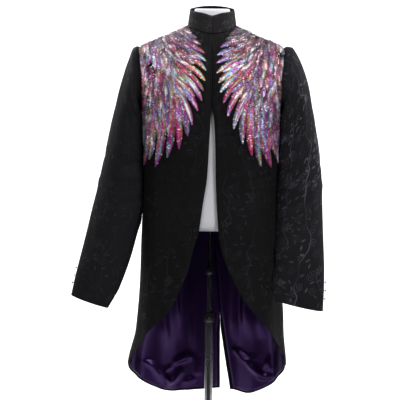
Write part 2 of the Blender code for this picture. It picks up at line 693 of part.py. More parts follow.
def dress_form(material):
    """A smooth limbless torso from its neck to its flat bottom, made of whole rings."""
    levels = [FORM_BOTTOM + (UNDERARM - FORM_BOTTOM) * k / FORM_STEPS for k in range(FORM_STEPS)]
    levels += FORM_LEVELS
    quarters = [CoatSide(-1, False), CoatSide(-1, True), CoatSide(1, True), CoatSide(1, False)]
    rings = []
    for level in levels:
        ring = []
        for number, side in enumerate(quarters):
            turns = [math.pi / 2 * j / FRONT_COLUMNS for j in range(FRONT_COLUMNS + 1)]
            turns = turns[::-1] if number % 2 == 0 else turns
            for turn in turns[:-1]:
                point = side.point(level, max(turn, side.first_turn(level)))
                if turn < side.first_turn(level):
                    half_width, depth, square = side.ring(level)
                    point.x = side.side * half_width * abs(math.cos(turn)) ** (2 / square)
                    point.y = (1 if side.back else -1) * depth * math.sin(turn) ** (2 / square)
                normal = side.normal(level, turn)
                ring.append(point - normal * form_clearance(level, turn))
        rings.append(ring)
    neckline = rings.pop()
    for spot in rings[0]:
        spot.z = FORM_BOTTOM
    root = FORM_NECK_TOP - NECK_RINGS[-1].rise
    for neck in NECK_RINGS:
        ring = []
        for spot in neckline:
            height = spot.z + (root - spot.z) * neck.level + neck.rise
            ring.append(Vector((spot.x * neck.share, spot.y * neck.share, height)))
        rings.append(ring)
    bm = bmesh.new()
    loops = [[bm.verts.new(point) for point in ring] for ring in rings]
    edges = [[bm.edges.new((a, b)) for a, b in zip(loop, loop[1:] + loop[:1])] for loop in loops]
    for lower, upper in zip(edges, edges[1:]):
        bmesh.ops.bridge_loops(bm, edges=lower + upper)
    bm.faces.new(loops[0][::-1])
    bm.faces.new(loops[-1])
    bmesh.ops.triangulate(bm, faces=bm.faces)
    return add_object("dress_form", bm, material)


def turned(name, profile, material, place=(0, 0, 0), sides=ROUND_SIDES, turn=None):
    """A solid of revolution about Z: a profile of (radius, height), spun and closed."""
    bm = bmesh.new()
    verts = [bm.verts.new((radius, 0, height)) for radius, height in profile]
    pairs = list(zip(verts, verts[1:]))
    if profile[0][0] > 0 and profile[-1][0] > 0:
        pairs.append((verts[-1], verts[0]))
    edges = [bm.edges.new(pair) for pair in pairs]
    bmesh.ops.spin(
        bm, geom=verts + edges, cent=(0, 0, 0), axis=(0, 0, 1), angle=math.tau, steps=sides,
        use_merge=True, use_duplicate=False,
    )
    bmesh.ops.remove_doubles(bm, verts=bm.verts, dist=1e-6)
    if turn is not None:
        bmesh.ops.transform(bm, matrix=turn, verts=bm.verts)
    obj = add_object(name, bm, material)
    obj.location = place
    return obj


def tube(name, outer, inner, bottom, top, material):
    profile = ((outer, bottom), (outer, top), (inner, top), (inner, bottom))
    return turned(name, profile, material)


def perforated_tube(material):
    """The middle tube, with a row of holes on its front and back that show between the clamps."""
    inner = ROD_RADIUS + TUBE_CLEARANCE
    body = tube("mid_tube", MID_RADIUS, inner, MID_BOTTOM, MID_TOP, material)
    bm = bmesh.new()
    middle = (UPPER_KNOB_HEIGHT + LOWER_KNOB_HEIGHT) / 2
    lowest = middle - HOLE_PITCH * (HOLE_COUNT - 1) / 2
    for k in range(HOLE_COUNT):
        spot = Matrix.Translation((0, 0, lowest + k * HOLE_PITCH)) @ Matrix.Rotation(math.pi / 2, 4, "X")
        bmesh.ops.create_cone(
            bm, cap_ends=True, segments=10, radius1=HOLE_RADIUS, radius2=HOLE_RADIUS, depth=HOLE_CUTTER,
            matrix=spot,
        )
    cutter = add_object("mid_tube_holes", bm, material)
    cutter.hide_render = True
    cutter.display_type = "WIRE"
    cut = body.modifiers.new("Holes", "BOOLEAN")
    cut.operation = "DIFFERENCE"
    cut.solver = "EXACT"
    cut.object = cutter
    return body


def clamp(name, height, tube_radius, material):
    """A turned collar round the joint of two tubes, with a lip at each end."""
    inner, half, lip = tube_radius + TUBE_CLEARANCE, CLAMP_LENGTH / 2, 0.003
    outer, bevel = inner + CLAMP_WALL, 0.0012
    profile = (
        (inner, -half), (outer - bevel, -half), (outer, -half + bevel),
        (outer, half - lip - bevel), (outer - bevel, half - lip),
        (outer - bevel, half), (inner, half),
    )
    return turned(name, profile, material, place=(0, 0, height))


def knob(name, height, tube_radius, material):
    """A ball knob on a short stem, its axis along Y, facing the front of its clamp."""
    stem, radius = KNOB_STEM, KNOB_RADIUS
    arc = [
        (radius * math.sin(math.radians(a)), stem + radius - radius * math.cos(math.radians(a)))
        for a in (25, 45, 70, 95, 120, 145, 165)
    ]
    neck = [(0, 0), (KNOB_STEM_RADIUS, 0), (KNOB_STEM_RADIUS, stem + 0.0005)]
    profile = [*neck, *arc, (0, stem + 2 * radius)]
    facing = Matrix.Rotation(math.pi / 2, 4, "X")
    start = -(tube_radius + TUBE_CLEARANCE + CLAMP_WALL + GAP)
    return turned(name, profile, material, place=(0, start, height), sides=14, turn=facing)


def build_coat(black, purple, sequins, silver):
    for hand in ("right", "left"):
        front = front_grid(hand)
        back = back_grid(hand)
        offset_wall("front_" + hand, *front, 0.0, CLOTH, black)
        offset_wall("back_" + hand, *back, 0.0, CLOTH, black)
        lined = [i for i in range(1, back[0].shape[0]) if back[0][i, 0, 2] < LINING_TOP + 1e-6]
        cut = (slice(lined[0], lined[-1] + 1), slice(0, BACK_COLUMNS))
        lining = (back[0][cut], back[1][cut])
        offset_wall("lining_" + hand, *lining, CLOTH + GAP, LINING_CLOTH, purple)
        wing("wing_" + hand, hand, front, sequins)
        sleeve = Sleeve(hand)
        under = ((FRONT_SEAM_TOP, FRONT_SEAM_CUFF), (BACK_SEAM_TOP, BACK_SEAM_CUFF))
        upper = ((BACK_SEAM_TOP - 360, BACK_SEAM_CUFF - 360), (FRONT_SEAM_TOP, FRONT_SEAM_CUFF))
        cloth_wall("under_sleeve_" + hand, *sleeve.grids(*under, UNDER_COLUMNS), black)
        for part in UPPER_PARTS[hand]:
            cloth_wall(f"upper_sleeve_{hand}{part.name}", *sleeve.grids(*upper, UPPER_COLUMNS, part), black)
        for k in range(BUTTON_COUNT):
            place = sleeve.last - BUTTON_FROM_HEM - k * BUTTON_PITCH
            add_button(f"cuff_button_{hand}_{k + 1}", sleeve, place, math.radians(BUTTON_ANGLE), silver)
    collar(black)


def build_stand(cloth_white, black_paint, chrome, black_plastic, iron):
    dress_form(cloth_white)
    turned(
        "form_flange",
        ((0, 0), (FLANGE_RADIUS, 0), (FLANGE_RADIUS, FLANGE_THICKNESS), (0, FLANGE_THICKNESS)),
        black_paint,
        place=(0, 0, FORM_BOTTOM - GAP - FLANGE_THICKNESS),
    )
    rod_top = FORM_BOTTOM - 2 * GAP - FLANGE_THICKNESS
    turned("rod", ((0, ROD_BOTTOM), (ROD_RADIUS, ROD_BOTTOM), (ROD_RADIUS, rod_top), (0, rod_top)), chrome)
    perforated_tube(chrome)
    foot_top = FOOT_THICKNESS + GAP
    tube("outer_tube", OUTER_RADIUS, MID_RADIUS + TUBE_CLEARANCE, foot_top, OUTER_TOP, chrome)
    clamp("upper_clamp", UPPER_KNOB_HEIGHT, MID_RADIUS, black_plastic)
    clamp("lower_clamp", LOWER_KNOB_HEIGHT, OUTER_RADIUS, black_plastic)
    knob("upper_knob", UPPER_KNOB_HEIGHT, MID_RADIUS, black_plastic)
    knob("lower_knob", LOWER_KNOB_HEIGHT, OUTER_RADIUS, black_plastic)
    inner = OUTER_RADIUS + GAP
    turned(
        "foot",
        (
            (0, 0), (FOOT_RADIUS, 0), (FOOT_RADIUS, FOOT_THICKNESS * 0.6),
            (FOOT_RADIUS - 0.006, FOOT_THICKNESS), (HUB_RADIUS + 0.006, FOOT_THICKNESS + 0.003),
            (HUB_RADIUS, HUB_HEIGHT), (inner, HUB_HEIGHT), (inner, FOOT_THICKNESS), (0, FOOT_THICKNESS),
        ),
        iron,
        sides=28,
    )


def main():
    for obj in list(bpy.data.objects):
        bpy.data.objects.remove(obj)
    black = plain_material("Black jacquard", (0.012, 0.012, 0.014), 0.75)
    purple = plain_material("Purple satin", (0.05, 0.008, 0.12), 0.35)
    sequins = plain_material("Iridescent sequins", (0.55, 0.12, 0.45), 0.25, 0.6)
    silver = plain_material("Silver metal", (0.75, 0.75, 0.78), 0.25, 1.0)
    white = plain_material("White jersey", (0.80, 0.80, 0.80), 0.85)
    paint = plain_material("Black paint", (0.02, 0.02, 0.02), 0.45)
    chrome = plain_material("Chromed steel", (0.70, 0.70, 0.72), 0.15, 1.0)
    plastic = plain_material("Black plastic", (0.015, 0.015, 0.015), 0.40)
    iron = plain_material("Painted iron", (0.03, 0.03, 0.03), 0.50)
    build_coat(black, purple, sequins, silver)
    build_stand(white, paint, chrome, plastic, iron)


main()
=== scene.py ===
"""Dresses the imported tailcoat: black jacquard, sequinned wings, satin lining, form and stand."""

import logging
import math
import random
from dataclasses import dataclass, field
from enum import Enum

import bmesh
import bpy
import numpy as np
from bpy.types import Material, Node, NodeSocket, NodeTree, Object
from mathutils import Matrix, Vector
from mathutils.bvhtree import BVHTree


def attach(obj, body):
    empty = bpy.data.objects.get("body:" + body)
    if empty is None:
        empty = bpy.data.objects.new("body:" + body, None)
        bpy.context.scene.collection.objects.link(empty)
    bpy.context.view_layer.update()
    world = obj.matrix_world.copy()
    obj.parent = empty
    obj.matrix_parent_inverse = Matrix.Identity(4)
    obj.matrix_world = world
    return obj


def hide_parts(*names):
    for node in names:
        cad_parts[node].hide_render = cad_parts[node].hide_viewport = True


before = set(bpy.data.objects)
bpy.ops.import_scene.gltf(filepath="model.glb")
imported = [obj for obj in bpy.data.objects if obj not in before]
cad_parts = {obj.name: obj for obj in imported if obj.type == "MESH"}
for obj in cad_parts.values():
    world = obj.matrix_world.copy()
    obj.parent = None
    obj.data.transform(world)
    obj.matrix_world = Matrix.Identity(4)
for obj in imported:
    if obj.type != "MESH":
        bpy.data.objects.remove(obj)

LOG = logging.getLogger("tailcoat")
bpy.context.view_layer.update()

# Shared with the solids, in metres
GAP = 0.0003
HALF_GAP = GAP / 2
CLOTH = 0.0016
SLEEVE_CLOTH = 0.0015
COLLAR_CLOTH = 0.0024
LINING_CLOTH = 0.0010
UNDERARM = 1.220
SHOULDER = 1.398
ARMHOLE_MIDDLE = (UNDERARM + SHOULDER) / 2
ARMHOLE_HALF = (SHOULDER - UNDERARM) / 2
ARMHOLE_HALF_DEPTH = 0.0605
NECKLINE = 1.4570
TAIL_TOP = 0.625
LINING_TOP = 0.945
FRONT_BOTTOM = 0.536

# The coat's outside, ring by ring: heights at the side, front and back, half width, depth in
# front and behind, and how square the ring is
RINGS = np.array((
    (0.395, 0.395, 0.395, 0.2175, 0.130, 0.155, 2.4),
    (0.540, 0.540, 0.540, 0.2140, 0.132, 0.152, 2.4),
    (0.640, 0.640, 0.640, 0.2000, 0.134, 0.148, 2.4),
    (0.760, 0.760, 0.760, 0.1900, 0.136, 0.142, 2.4),
    (0.900, 0.900, 0.900, 0.1855, 0.134, 0.134, 2.4),
    (1.030, 1.030, 1.030, 0.1805, 0.124, 0.113, 2.4),
    (1.150, 1.142, 1.145, 0.1825, 0.130, 0.118, 2.6),
    (1.220, 1.200, 1.210, 0.1840, 0.131, 0.121, 2.8),
    (1.310, 1.265, 1.285, 0.1870, 0.126, 0.123, 3.0),
    (1.398, 1.325, 1.350, 0.1880, 0.118, 0.116, 3.0),
    (1.425, 1.388, 1.420, 0.1280, 0.092, 0.094, 2.6),
    (1.447, 1.425, 1.452, 0.0820, 0.072, 0.068, 2.3),
    (1.457, 1.4375, 1.464, 0.0645, 0.062, 0.056, 2.2),
))
# Height, then how far the wearer's right and left edges stand from the centre line
FRONT_EDGES = np.array((
    (0.536, 0.2115, 0.2125), (0.556, 0.2085, 0.2095), (0.587, 0.195, 0.199), (0.63, 0.173, 0.172),
    (0.677, 0.134, 0.1395), (0.714, 0.102, 0.11), (0.775, 0.0755, 0.071), (0.816, 0.0585, 0.053),
    (0.88, 0.0425, 0.029), (0.928, 0.029, 0.022), (1, 0.019, 0.0165), (1.07, 0.009, 0.0135),
    (1.178, 0.004, 0.011), (1.255, 0.001, 0.0065), (1.302, HALF_GAP, HALF_GAP), (1.46, HALF_GAP, HALF_GAP),
))
BACK_EDGES = np.array((
    (0.39, 0.034, 0.064), (0.42, 0.034, 0.06), (0.5, 0.033, 0.047), (0.56, 0.0325, 0.038),
    (0.6, 0.032, 0.0325), (0.64, 0.031, 0.031), (0.76, 0.021, 0.021), (0.9, 0.006, 0.006), (1.03, 0, 0),
    (1.47, 0, 0),
))
# Turn in degrees from the side seam, and the hem's height there
HEM = np.array((
    (0, 0.54), (15, 0.492), (30, 0.464), (45, 0.432), (58, 0.412), (70, 0.402), (84, 0.408), (100, 0.414),
))
# Turn, breadth and depth of each flute, and the height where it starts
BACK_FLUTES = (
    (20, 8, -0.006, 0.86), (38, 8, 0.008, 0.92), (56, 7, -0.009, 0.90), (72, 7, 0.007, 0.88),
    (86, 5, -0.004, 0.80),
)
FRONT_FLUTES = ((24, 9, -0.004, 0.88), (44, 10, 0.005, 0.94))
FLUTE_FULL = 0.46
# Sleeve rings: outer and inner ends (x, z), middle and half depth along Y, and the hem's dip
RIGHT_SLEEVE = np.array((
    (0.198, 1.401, 0.1885, 1.213, 0, 0.063, 0), (0.2085, 1.3955, 0.187, 1.205, 0, 0.065, 0),
    (0.2215, 1.356, 0.1865, 1.19, 0, 0.067, 0), (0.237, 1.307, 0.1863, 1.17, 0, 0.068, 0),
    (0.251, 1.258, 0.186, 1.145, 0, 0.068, 0), (0.264, 1.21, 0.1855, 1.115, 0, 0.067, 0),
    (0.2765, 1.152, 0.185, 1.075, 0, 0.065, 0), (0.289, 1.093, 0.1848, 1.03, -0.002, 0.061, 0),
    (0.3025, 1.028, 0.185, 0.985, -0.006, 0.056, 0), (0.318, 0.967, 0.1872, 0.94, -0.014, 0.05, 0),
    (0.3335, 0.9, 0.199, 0.885, -0.024, 0.043, 0), (0.349, 0.838, 0.213, 0.834, -0.034, 0.037, 0.004),
    (0.3615, 0.787, 0.226, 0.795, -0.042, 0.032, 0.016), (0.373, 0.735, 0.242, 0.754, -0.048, 0.028, 0.046),
))
LEFT_SLEEVE = np.array((
    (0.198, 1.404, 0.1885, 1.213, 0, 0.063, 0), (0.2115, 1.402, 0.187, 1.205, 0, 0.065, 0),
    (0.231, 1.374, 0.1865, 1.19, 0, 0.067, 0), (0.248, 1.335, 0.1863, 1.17, 0, 0.068, 0),
    (0.261, 1.294, 0.186, 1.145, 0, 0.068, 0), (0.2705, 1.248, 0.1855, 1.115, 0, 0.067, 0),
    (0.279, 1.195, 0.185, 1.075, -0.002, 0.065, 0), (0.2895, 1.135, 0.1848, 1.035, -0.007, 0.061, 0),
    (0.2965, 1.075, 0.185, 0.995, -0.017, 0.056, 0), (0.299, 1.012, 0.187, 0.95, -0.031, 0.05, 0),
    (0.301, 0.945, 0.1875, 0.905, -0.05, 0.044, 0), (0.303, 0.88, 0.183, 0.862, -0.072, 0.037, 0),
    (0.305, 0.82, 0.174, 0.81, -0.09, 0.031, 0), (0.3045, 0.765, 0.1665, 0.775, -0.1, 0.027, 0),
    (0.3026, 0.711, 0.1625, 0.744, -0.105, 0.025, 0),
))
# Each wing's longest feathers, from the armhole to the neck: the tip (x, z), the lean in degrees at
# the tip and at the root, and the length
RIGHT_FEATHERS = np.array((
    (0.175, 1.088, 281, 266, 0.147), (0.16, 1.108, 281, 268, 0.128), (0.144, 1.091, 286, 271, 0.148),
    (0.113, 1.119, 282, 262, 0.13), (0.082, 1.144, 270, 257, 0.128), (0.06, 1.177, 262, 246, 0.114),
    (0.048, 1.207, 259, 232, 0.1), (0.034, 1.243, 248, 224, 0.09), (0.024, 1.269, 243, 218, 0.08),
    (0.02, 1.294, 238, 210, 0.072), (0.016, 1.32, 233, 206, 0.064), (0.014, 1.345, 227, 204, 0.056),
    (0.014, 1.368, 221, 200, 0.05), (0.019, 1.389, 214, 197, 0.044), (0.028, 1.409, 208, 195, 0.04),
    (0.038, 1.425, 204, 192, 0.036), (0.051, 1.439, 198, 190, 0.03),
))
LEFT_FEATHERS = np.array((
    (0.177, 1.099, 284, 266, 0.13), (0.168, 1.122, 287, 270, 0.112), (0.158, 1.091, 289, 272, 0.14),
    (0.131, 1.097, 285, 262, 0.14), (0.106, 1.127, 279, 259, 0.124), (0.082, 1.158, 273, 246, 0.114),
    (0.058, 1.197, 266, 232, 0.104), (0.042, 1.23, 258, 222, 0.092), (0.03, 1.263, 248, 214, 0.082),
    (0.022, 1.291, 237, 209, 0.074), (0.017, 1.315, 229, 206, 0.066), (0.013, 1.339, 221, 201, 0.058),
    (0.012, 1.364, 214, 198, 0.05), (0.014, 1.384, 209, 195, 0.044), (0.022, 1.403, 210, 196, 0.04),
    (0.034, 1.422, 206, 193, 0.036), (0.048, 1.438, 198, 190, 0.03),
))


class Hand(Enum):
    """The wearer's side that a piece belongs to."""

    RIGHT = "right"
    LEFT = "left"

    @property
    def side(self) -> int:
        """The sign of X on this side."""
        return -1 if self is Hand.RIGHT else 1


class Curve:
    """A value along a key, on a curve through its rows that never overshoots them."""

    def __init__(self, keys: np.ndarray, values: np.ndarray) -> None:
        """Works out the tangents.

        Args:
            keys: rising keys, one for each row.
            values: the value at each key.
        """
        self.keys = np.array(keys, float)
        self.values = np.array(values, float)
        spans = np.diff(self.keys)
        slopes = np.diff(self.values) / spans
        before, after = slopes[:-1], slopes[1:]
        first, second = 2 * spans[1:] + spans[:-1], spans[1:] + 2 * spans[:-1]
        inner = np.zeros(len(before))
        same = before * after > 0
        inner[same] = (first + second)[same] / (first[same] / before[same] + second[same] / after[same])
        self.tangents = np.concatenate([slopes[:1], inner, slopes[-1:]])

    def __call__(self, at: np.ndarray) -> np.ndarray:
        """Reads the curve.

        Args:
            at: keys to read it at; outside the rows it keeps the end's value.

        Returns:
            A value for each key.
        """
        at = np.clip(at, self.keys[0], self.keys[-1])
        i = np.clip(np.searchsorted(self.keys, at, side="right") - 1, 0, len(self.keys) - 2)
        span = self.keys[i + 1] - self.keys[i]
        s = (at - self.keys[i]) / span
        return (
            self.values[i] * (1 + 2 * s) * (1 - s) ** 2
            + self.tangents[i] * span * s * (1 - s) ** 2
            + self.values[i + 1] * s * s * (3 - 2 * s)
            + self.tangents[i + 1] * span * s * s * (s - 1)
        )


def smoothstep(at: np.ndarray, start: float, end: float) -> np.ndarray:
    """An even rise from 0 at the start to 1 at the end."""
    s = np.clip((at - start) / (end - start), 0.0, 1.0)
    return s * s * (3 - 2 * s)


def signed_power(value: np.ndarray, power: np.ndarray) -> np.ndarray:
    """A power of the value's size, with its sign kept."""
    return np.sign(value) * np.abs(value) ** power


def unit(vectors: np.ndarray) -> np.ndarray:
    """The vectors at length 1."""
    return vectors / np.maximum(np.linalg.norm(vectors, axis=-1, keepdims=True), 1e-12)


def swing(points: np.ndarray, side: int) -> np.ndarray:
    """How far out the hanging skirt swings, uneven from one side to the other.

    Args:
        points: places on the coat.
        side: the sign of X there.

    Returns:
        The distance along X of each place, outwards.
    """
    x, z = np.abs(points[..., 0]), points[..., 2]
    out = 0.009 * (1 - smoothstep(z, 0.50, 0.63))
    if side > 0:
        out = 0.007 * smoothstep(z, 0.56, 0.70) * (1 - smoothstep(z, 0.84, 0.98))
    return out * (x / 0.19) ** 2


@dataclass
class CoatQuarter:
    """One quarter of the coat's outside, by level and by turn from the side seam to the centre."""

    side: int
    back: bool
    step: float = 0.002
    nudge: float = 0.01

    def __post_init__(self) -> None:
        """Draws the curves through the rings."""
        self.width = Curve(RINGS[:, 0], RINGS[:, 3])
        self.depth = Curve(RINGS[:, 0], RINGS[:, 5 if self.back else 4])
        self.square = Curve(RINGS[:, 0], RINGS[:, 6])
        self.centre = Curve(RINGS[:, 0], RINGS[:, 2 if self.back else 1])
        self.ahead = 1 if self.back else -1

    def first_turn(self, level: np.ndarray) -> np.ndarray:
        """The turn at the armhole's edge, or at the side seam below it and the shoulder seam above."""
        inside = 1 - ((level - ARMHOLE_MIDDLE) / ARMHOLE_HALF) ** 2
        reach = ARMHOLE_HALF_DEPTH * np.sqrt(np.maximum(inside, 0.0))
        return np.arcsin((reach / self.depth(level)) ** (self.square(level) / 2))

    def turn_at(self, level: np.ndarray, reach: np.ndarray) -> np.ndarray:
        """The turn at which the ring stands this far from the centre line, on its own side."""
        share = np.minimum(reach / self.width(level), 1.0)
        return np.arccos(signed_power(share, self.square(level) / 2))

    def flute(self, level: np.ndarray, turn: np.ndarray) -> np.ndarray:
        """How far the flutes push a point outwards."""
        push = np.zeros(np.broadcast(level, turn).shape)
        for middle, breadth, depth, top in BACK_FLUTES if self.back else FRONT_FLUTES:
            off = (np.degrees(turn) - middle) / breadth
            push = push + depth * np.exp(-off * off) * smoothstep(level, top, FLUTE_FULL)
        return push

    def points(self, level: np.ndarray, turn: np.ndarray) -> np.ndarray:
        """Places on the coat's outside.

        Args:
            level: height at the side seam, for each point.
            turn: angle from the side seam towards the centre, in radians.

        Returns:
            The points, with X, Y and Z last.
        """
        width, depth, square = self.width(level), self.depth(level), self.square(level)
        x = width * signed_power(np.cos(turn), 2 / square)
        y = depth * np.abs(np.sin(turn)) ** (2 / square)
        out_x = signed_power(x / width, square - 1) / width
        out_y = (y / depth) ** (square - 1) / depth
        size = np.hypot(out_x, out_y)
        push = self.flute(level, turn)
        start = np.sin(self.first_turn(level)) ** 2
        share = (np.sin(turn) ** 2 - start) / (1 - start)
        z = level + (self.centre(level) - level) * share
        return np.stack(np.broadcast_arrays(
            self.side * (x + out_x / size * push), self.ahead * (y + out_y / size * push), z,
        ), axis=-1)

    def normals(self, level: np.ndarray, turn: np.ndarray) -> np.ndarray:
        """Outward directions, with no Y part at the side seam, where two quarters meet."""
        low = np.maximum(level - self.step, RINGS[0, 0])
        high = np.minimum(level + self.step, RINGS[-1, 0])
        rise = self.points(high, turn) - self.points(low, turn)
        along = self.points(level, turn + self.nudge) - self.points(level, np.maximum(turn - self.nudge, 0.0))
        normal = unit(np.cross(along, rise))
        flat = self.points(level, turn) * (1, 1, 0)
        normal = normal * np.where((normal * flat).sum(-1, keepdims=True) < 0, -1, 1)
        normal[..., 1] = np.where(np.sin(turn) < 1e-6, 0.0, normal[..., 1])
        return unit(normal)

    def across(self, level: np.ndarray, turn: np.ndarray) -> np.ndarray:
        """The cloth's distance from the centre line, along the ring.

        Args:
            level: height at the side seam, for each point.
            turn: angle from the side seam, in radians.

        Returns:
            The distances in metres, on this quarter's side when positive.
        """
        levels, turns = np.linspace(RINGS[0, 0], RINGS[-1, 0], 160), np.linspace(0, math.radians(110), 120)
        ring = self.points(levels[:, None], turns[None, :])
        steps = np.linalg.norm(np.diff(ring, axis=1), axis=-1)
        run = np.concatenate([np.zeros((len(levels), 1)), np.cumsum(steps, axis=1)], axis=1)
        middle = np.array([np.interp(math.pi / 2, turns, row) for row in run])
        i = np.clip((level - levels[0]) / (levels[1] - levels[0]), 0, len(levels) - 1.001)
        j = np.clip(turn / (turns[1] - turns[0]), 0, len(turns) - 1.001)
        i, j = np.broadcast_arrays(i, j)
        low_i, low_j = i.astype(int), j.astype(int)
        part_i, part_j = i - low_i, j - low_j
        near = run[low_i, low_j] * (1 - part_j) + run[low_i, low_j + 1] * part_j
        far = run[low_i + 1, low_j] * (1 - part_j) + run[low_i + 1, low_j + 1] * part_j
        total = middle[low_i] * (1 - part_i) + middle[low_i + 1] * part_i
        return total - near * (1 - part_i) - far * part_i


@dataclass(frozen=True)
class Crease:
    """A soft ridge (or trough, when its depth is negative) laid on a piece's own map."""

    start: tuple[float, float]
    end: tuple[float, float]
    width: float
    depth: float
    bow: float = 0.0
    fade_in: float = 0.35
    fade_out: float = 0.35

    def push(self, places: np.ndarray) -> np.ndarray:
        """How far each place moves outwards.

        Args:
            places: positions on the piece's map, in metres.

        Returns:
            The move of each place, in metres.
        """
        start, end = np.array(self.start), np.array(self.end)
        length = np.linalg.norm(end - start)
        along = (end - start) / length
        across = np.array((-along[1], along[0]))
        off = places - start
        s = off @ along / length
        wander = self.bow * 4 * s * (1 - s) + 0.18 * self.width * np.sin(7 * s + 40 * self.width)
        d = (off @ across - wander) / (self.width * (0.75 + 0.5 * np.clip(s, 0, 1)))
        rise = smoothstep(s, 0, self.fade_in) if self.fade_in else (s > -9)
        fall = 1 - smoothstep(s, 1 - self.fade_out, 1) if self.fade_out else (s < 9)
        side = np.where(d > 0, 1.0, 1.5)
        return self.depth * np.exp(-((d * side) ** 2)) * rise * fall


def laid_creases(*rows: tuple[float, ...]) -> tuple[Crease, ...]:
    """Creases from rows of start (x, z), end (x, z), width and depth, then bow and fades where given."""
    return tuple(Crease(row[:2], row[2:4], *row[4:]) for row in rows)


def push_of(creases: tuple[Crease, ...], places: np.ndarray) -> np.ndarray:
    """The sum of the creases' moves at each place."""
    total = np.zeros(places.shape[:-1])
    for crease in creases:
        total = total + crease.push(places)
    return total


@dataclass
class ClothPiece:
    """A laid-out cloth: its outer points, its outward directions and its flat map."""

    points: np.ndarray
    normals: np.ndarray
    flat: np.ndarray
    cut: tuple[float, float, float] = (0.0, 0.0, 0.0)

    def __post_init__(self) -> None:
        """Measures the cut: its width, its length and its flat area."""
        size = self.flat.reshape(-1, 2).max(0) - self.flat.reshape(-1, 2).min(0)
        across, up = np.diff(self.points, axis=1)[:-1], np.diff(self.points, axis=0)[:, :-1]
        area = np.linalg.norm(np.cross(across, up), axis=-1).sum()
        self.cut = (float(size[0]), float(size[1]), float(min(area, size[0] * size[1])))

    def crumple(self, creases: tuple[Crease, ...], places: np.ndarray) -> None:
        """Moves the points along their outward directions by the creases."""
        self.points = self.points + self.normals * push_of(creases, places)[..., None]

    def roll_edges(self, depth: float, reach: float, edges: str) -> None:
        """Rounds the cloth down towards its seams.

        Args:
            depth: how far a seam's edge sinks.
            reach: how far in from the seam the roll starts.
            edges: which sides are seams: f(irst) and l(ast) column, b(ottom) and t(op) row.
        """
        columns = np.linalg.norm(np.diff(self.points, axis=1), axis=-1)
        run = np.concatenate([np.zeros((len(self.points), 1)), np.cumsum(columns, axis=1)], axis=1)
        rows = np.linalg.norm(np.diff(self.points, axis=0), axis=-1)
        climb = np.concatenate([np.zeros((1, self.points.shape[1])), np.cumsum(rows, axis=0)], axis=0)
        far = {"f": run, "l": run[:, -1:] - run, "b": climb, "t": climb[-1:] - climb}
        sink = np.zeros(self.points.shape[:2])
        for edge in edges:
            sink = np.maximum(sink, 1 - smoothstep(far[edge], 0, reach))
        self.points = self.points - self.normals * (depth * sink ** 2)[..., None]


def mesh_from(name: str, bm: bmesh.types.BMesh) -> Object:
    """Makes an object of a finished bmesh, at the origin.

    Args:
        name: the piece's name.
        bm: the bmesh, which is freed.

    Returns:
        The new object, in the scene.
    """
    mesh = bpy.data.meshes.new(name)
    bm.to_mesh(mesh)
    bm.free()
    obj = bpy.data.objects.new(name, mesh)
    bpy.context.scene.collection.objects.link(obj)
    return obj


def sew(name: str, piece: ClothPiece, wall: float, materials: list[Material],
        faced: np.ndarray | None = None) -> Object:
    """Makes a cloth of this wall from a laid-out piece.

    Args:
        name: the piece's name.
        piece: its points, outward directions and flat map.
        wall: its thickness, laid inwards.
        materials: outside, inside, then the same two for the faced part.
        faced: which grid places have the second pair, if any.

    Returns:
        The cloth's object.
    """
    rows, columns = piece.points.shape[:2]
    bm = bmesh.new()
    bmesh.ops.create_grid(bm, x_segments=columns - 1, y_segments=rows - 1, size=0.5)
    obj = mesh_from(name, bm)
    mesh = obj.data
    seats = np.empty(len(mesh.vertices) * 3)
    mesh.vertices.foreach_get("co", seats)
    seats = seats.reshape(-1, 3)
    j = np.rint((seats[:, 0] + 0.5) * (columns - 1)).astype(int)
    i = np.rint((seats[:, 1] + 0.5) * (rows - 1)).astype(int)
    mesh.vertices.foreach_set("co", piece.points[i, j].ravel())
    mesh.update()
    corners = np.empty(len(mesh.loops), int)
    mesh.loops.foreach_get("vertex_index", corners)
    layer = mesh.uv_layers.new(name="cloth")
    layer.data.foreach_set("uv", piece.flat[i, j][corners].ravel())
    for material in materials:
        mesh.materials.append(material)
    facings = np.empty(len(mesh.polygons) * 3)
    mesh.polygons.foreach_get("normal", facings)
    first = np.empty(len(mesh.polygons), int)
    mesh.polygons.foreach_get("loop_start", first)
    seat = corners[first]
    agree = (facings.reshape(-1, 3) * piece.normals[i, j][seat]).sum()
    if faced is not None:
        mesh.polygons.foreach_set("material_index", np.where(faced[i, j][seat], 2, 0).astype(np.int32))
    if agree < 0:
        mesh.flip_normals()
    mesh.shade_smooth()
    shell = obj.modifiers.new("Wall", "SOLIDIFY")
    shell.thickness = wall
    shell.offset = -1
    shell.material_offset = 1
    return obj


def linear(code: str) -> tuple[float, float, float, float]:
    """Turns an sRGB hex colour into linear light.

    Args:
        code: the colour, such as "#1a2b3c".

    Returns:
        Red, green, blue and alpha.
    """
    shares = [int(code[k:k + 2], 16) / 255 for k in (1, 3, 5)]
    red, green, blue = (c / 12.92 if c <= 0.04045 else ((c + 0.055) / 1.055) ** 2.4 for c in shares)
    return red, green, blue, 1.0


def add_node(tree: NodeTree, kind: str, inputs: dict | None = None, out: int | str = 0,
             **settings: object) -> NodeSocket:
    """Adds a node with its settings, and its links or values.

    Args:
        tree: the material's node tree.
        kind: the node's type.
        inputs: for each input, the socket that feeds it or its value.
        out: the output that is handed back.
        settings: the node's own settings.

    Returns:
        The output socket.
    """
    node = tree.nodes.new(kind)
    for name, value in settings.items():
        setattr(node, name, value)
    for name, value in (inputs or {}).items():
        if isinstance(value, NodeSocket):
            tree.links.new(value, node.inputs[name])
        else:
            node.inputs[name].default_value = value
    return node.outputs[out] if len(node.outputs) else None


def calc(tree: NodeTree, operation: str,
         *values: NodeSocket | float) -> NodeSocket:
    """The result of a math node of this operation on these sockets or numbers."""
    return add_node(tree, "ShaderNodeMath", dict(enumerate(values)), operation=operation)


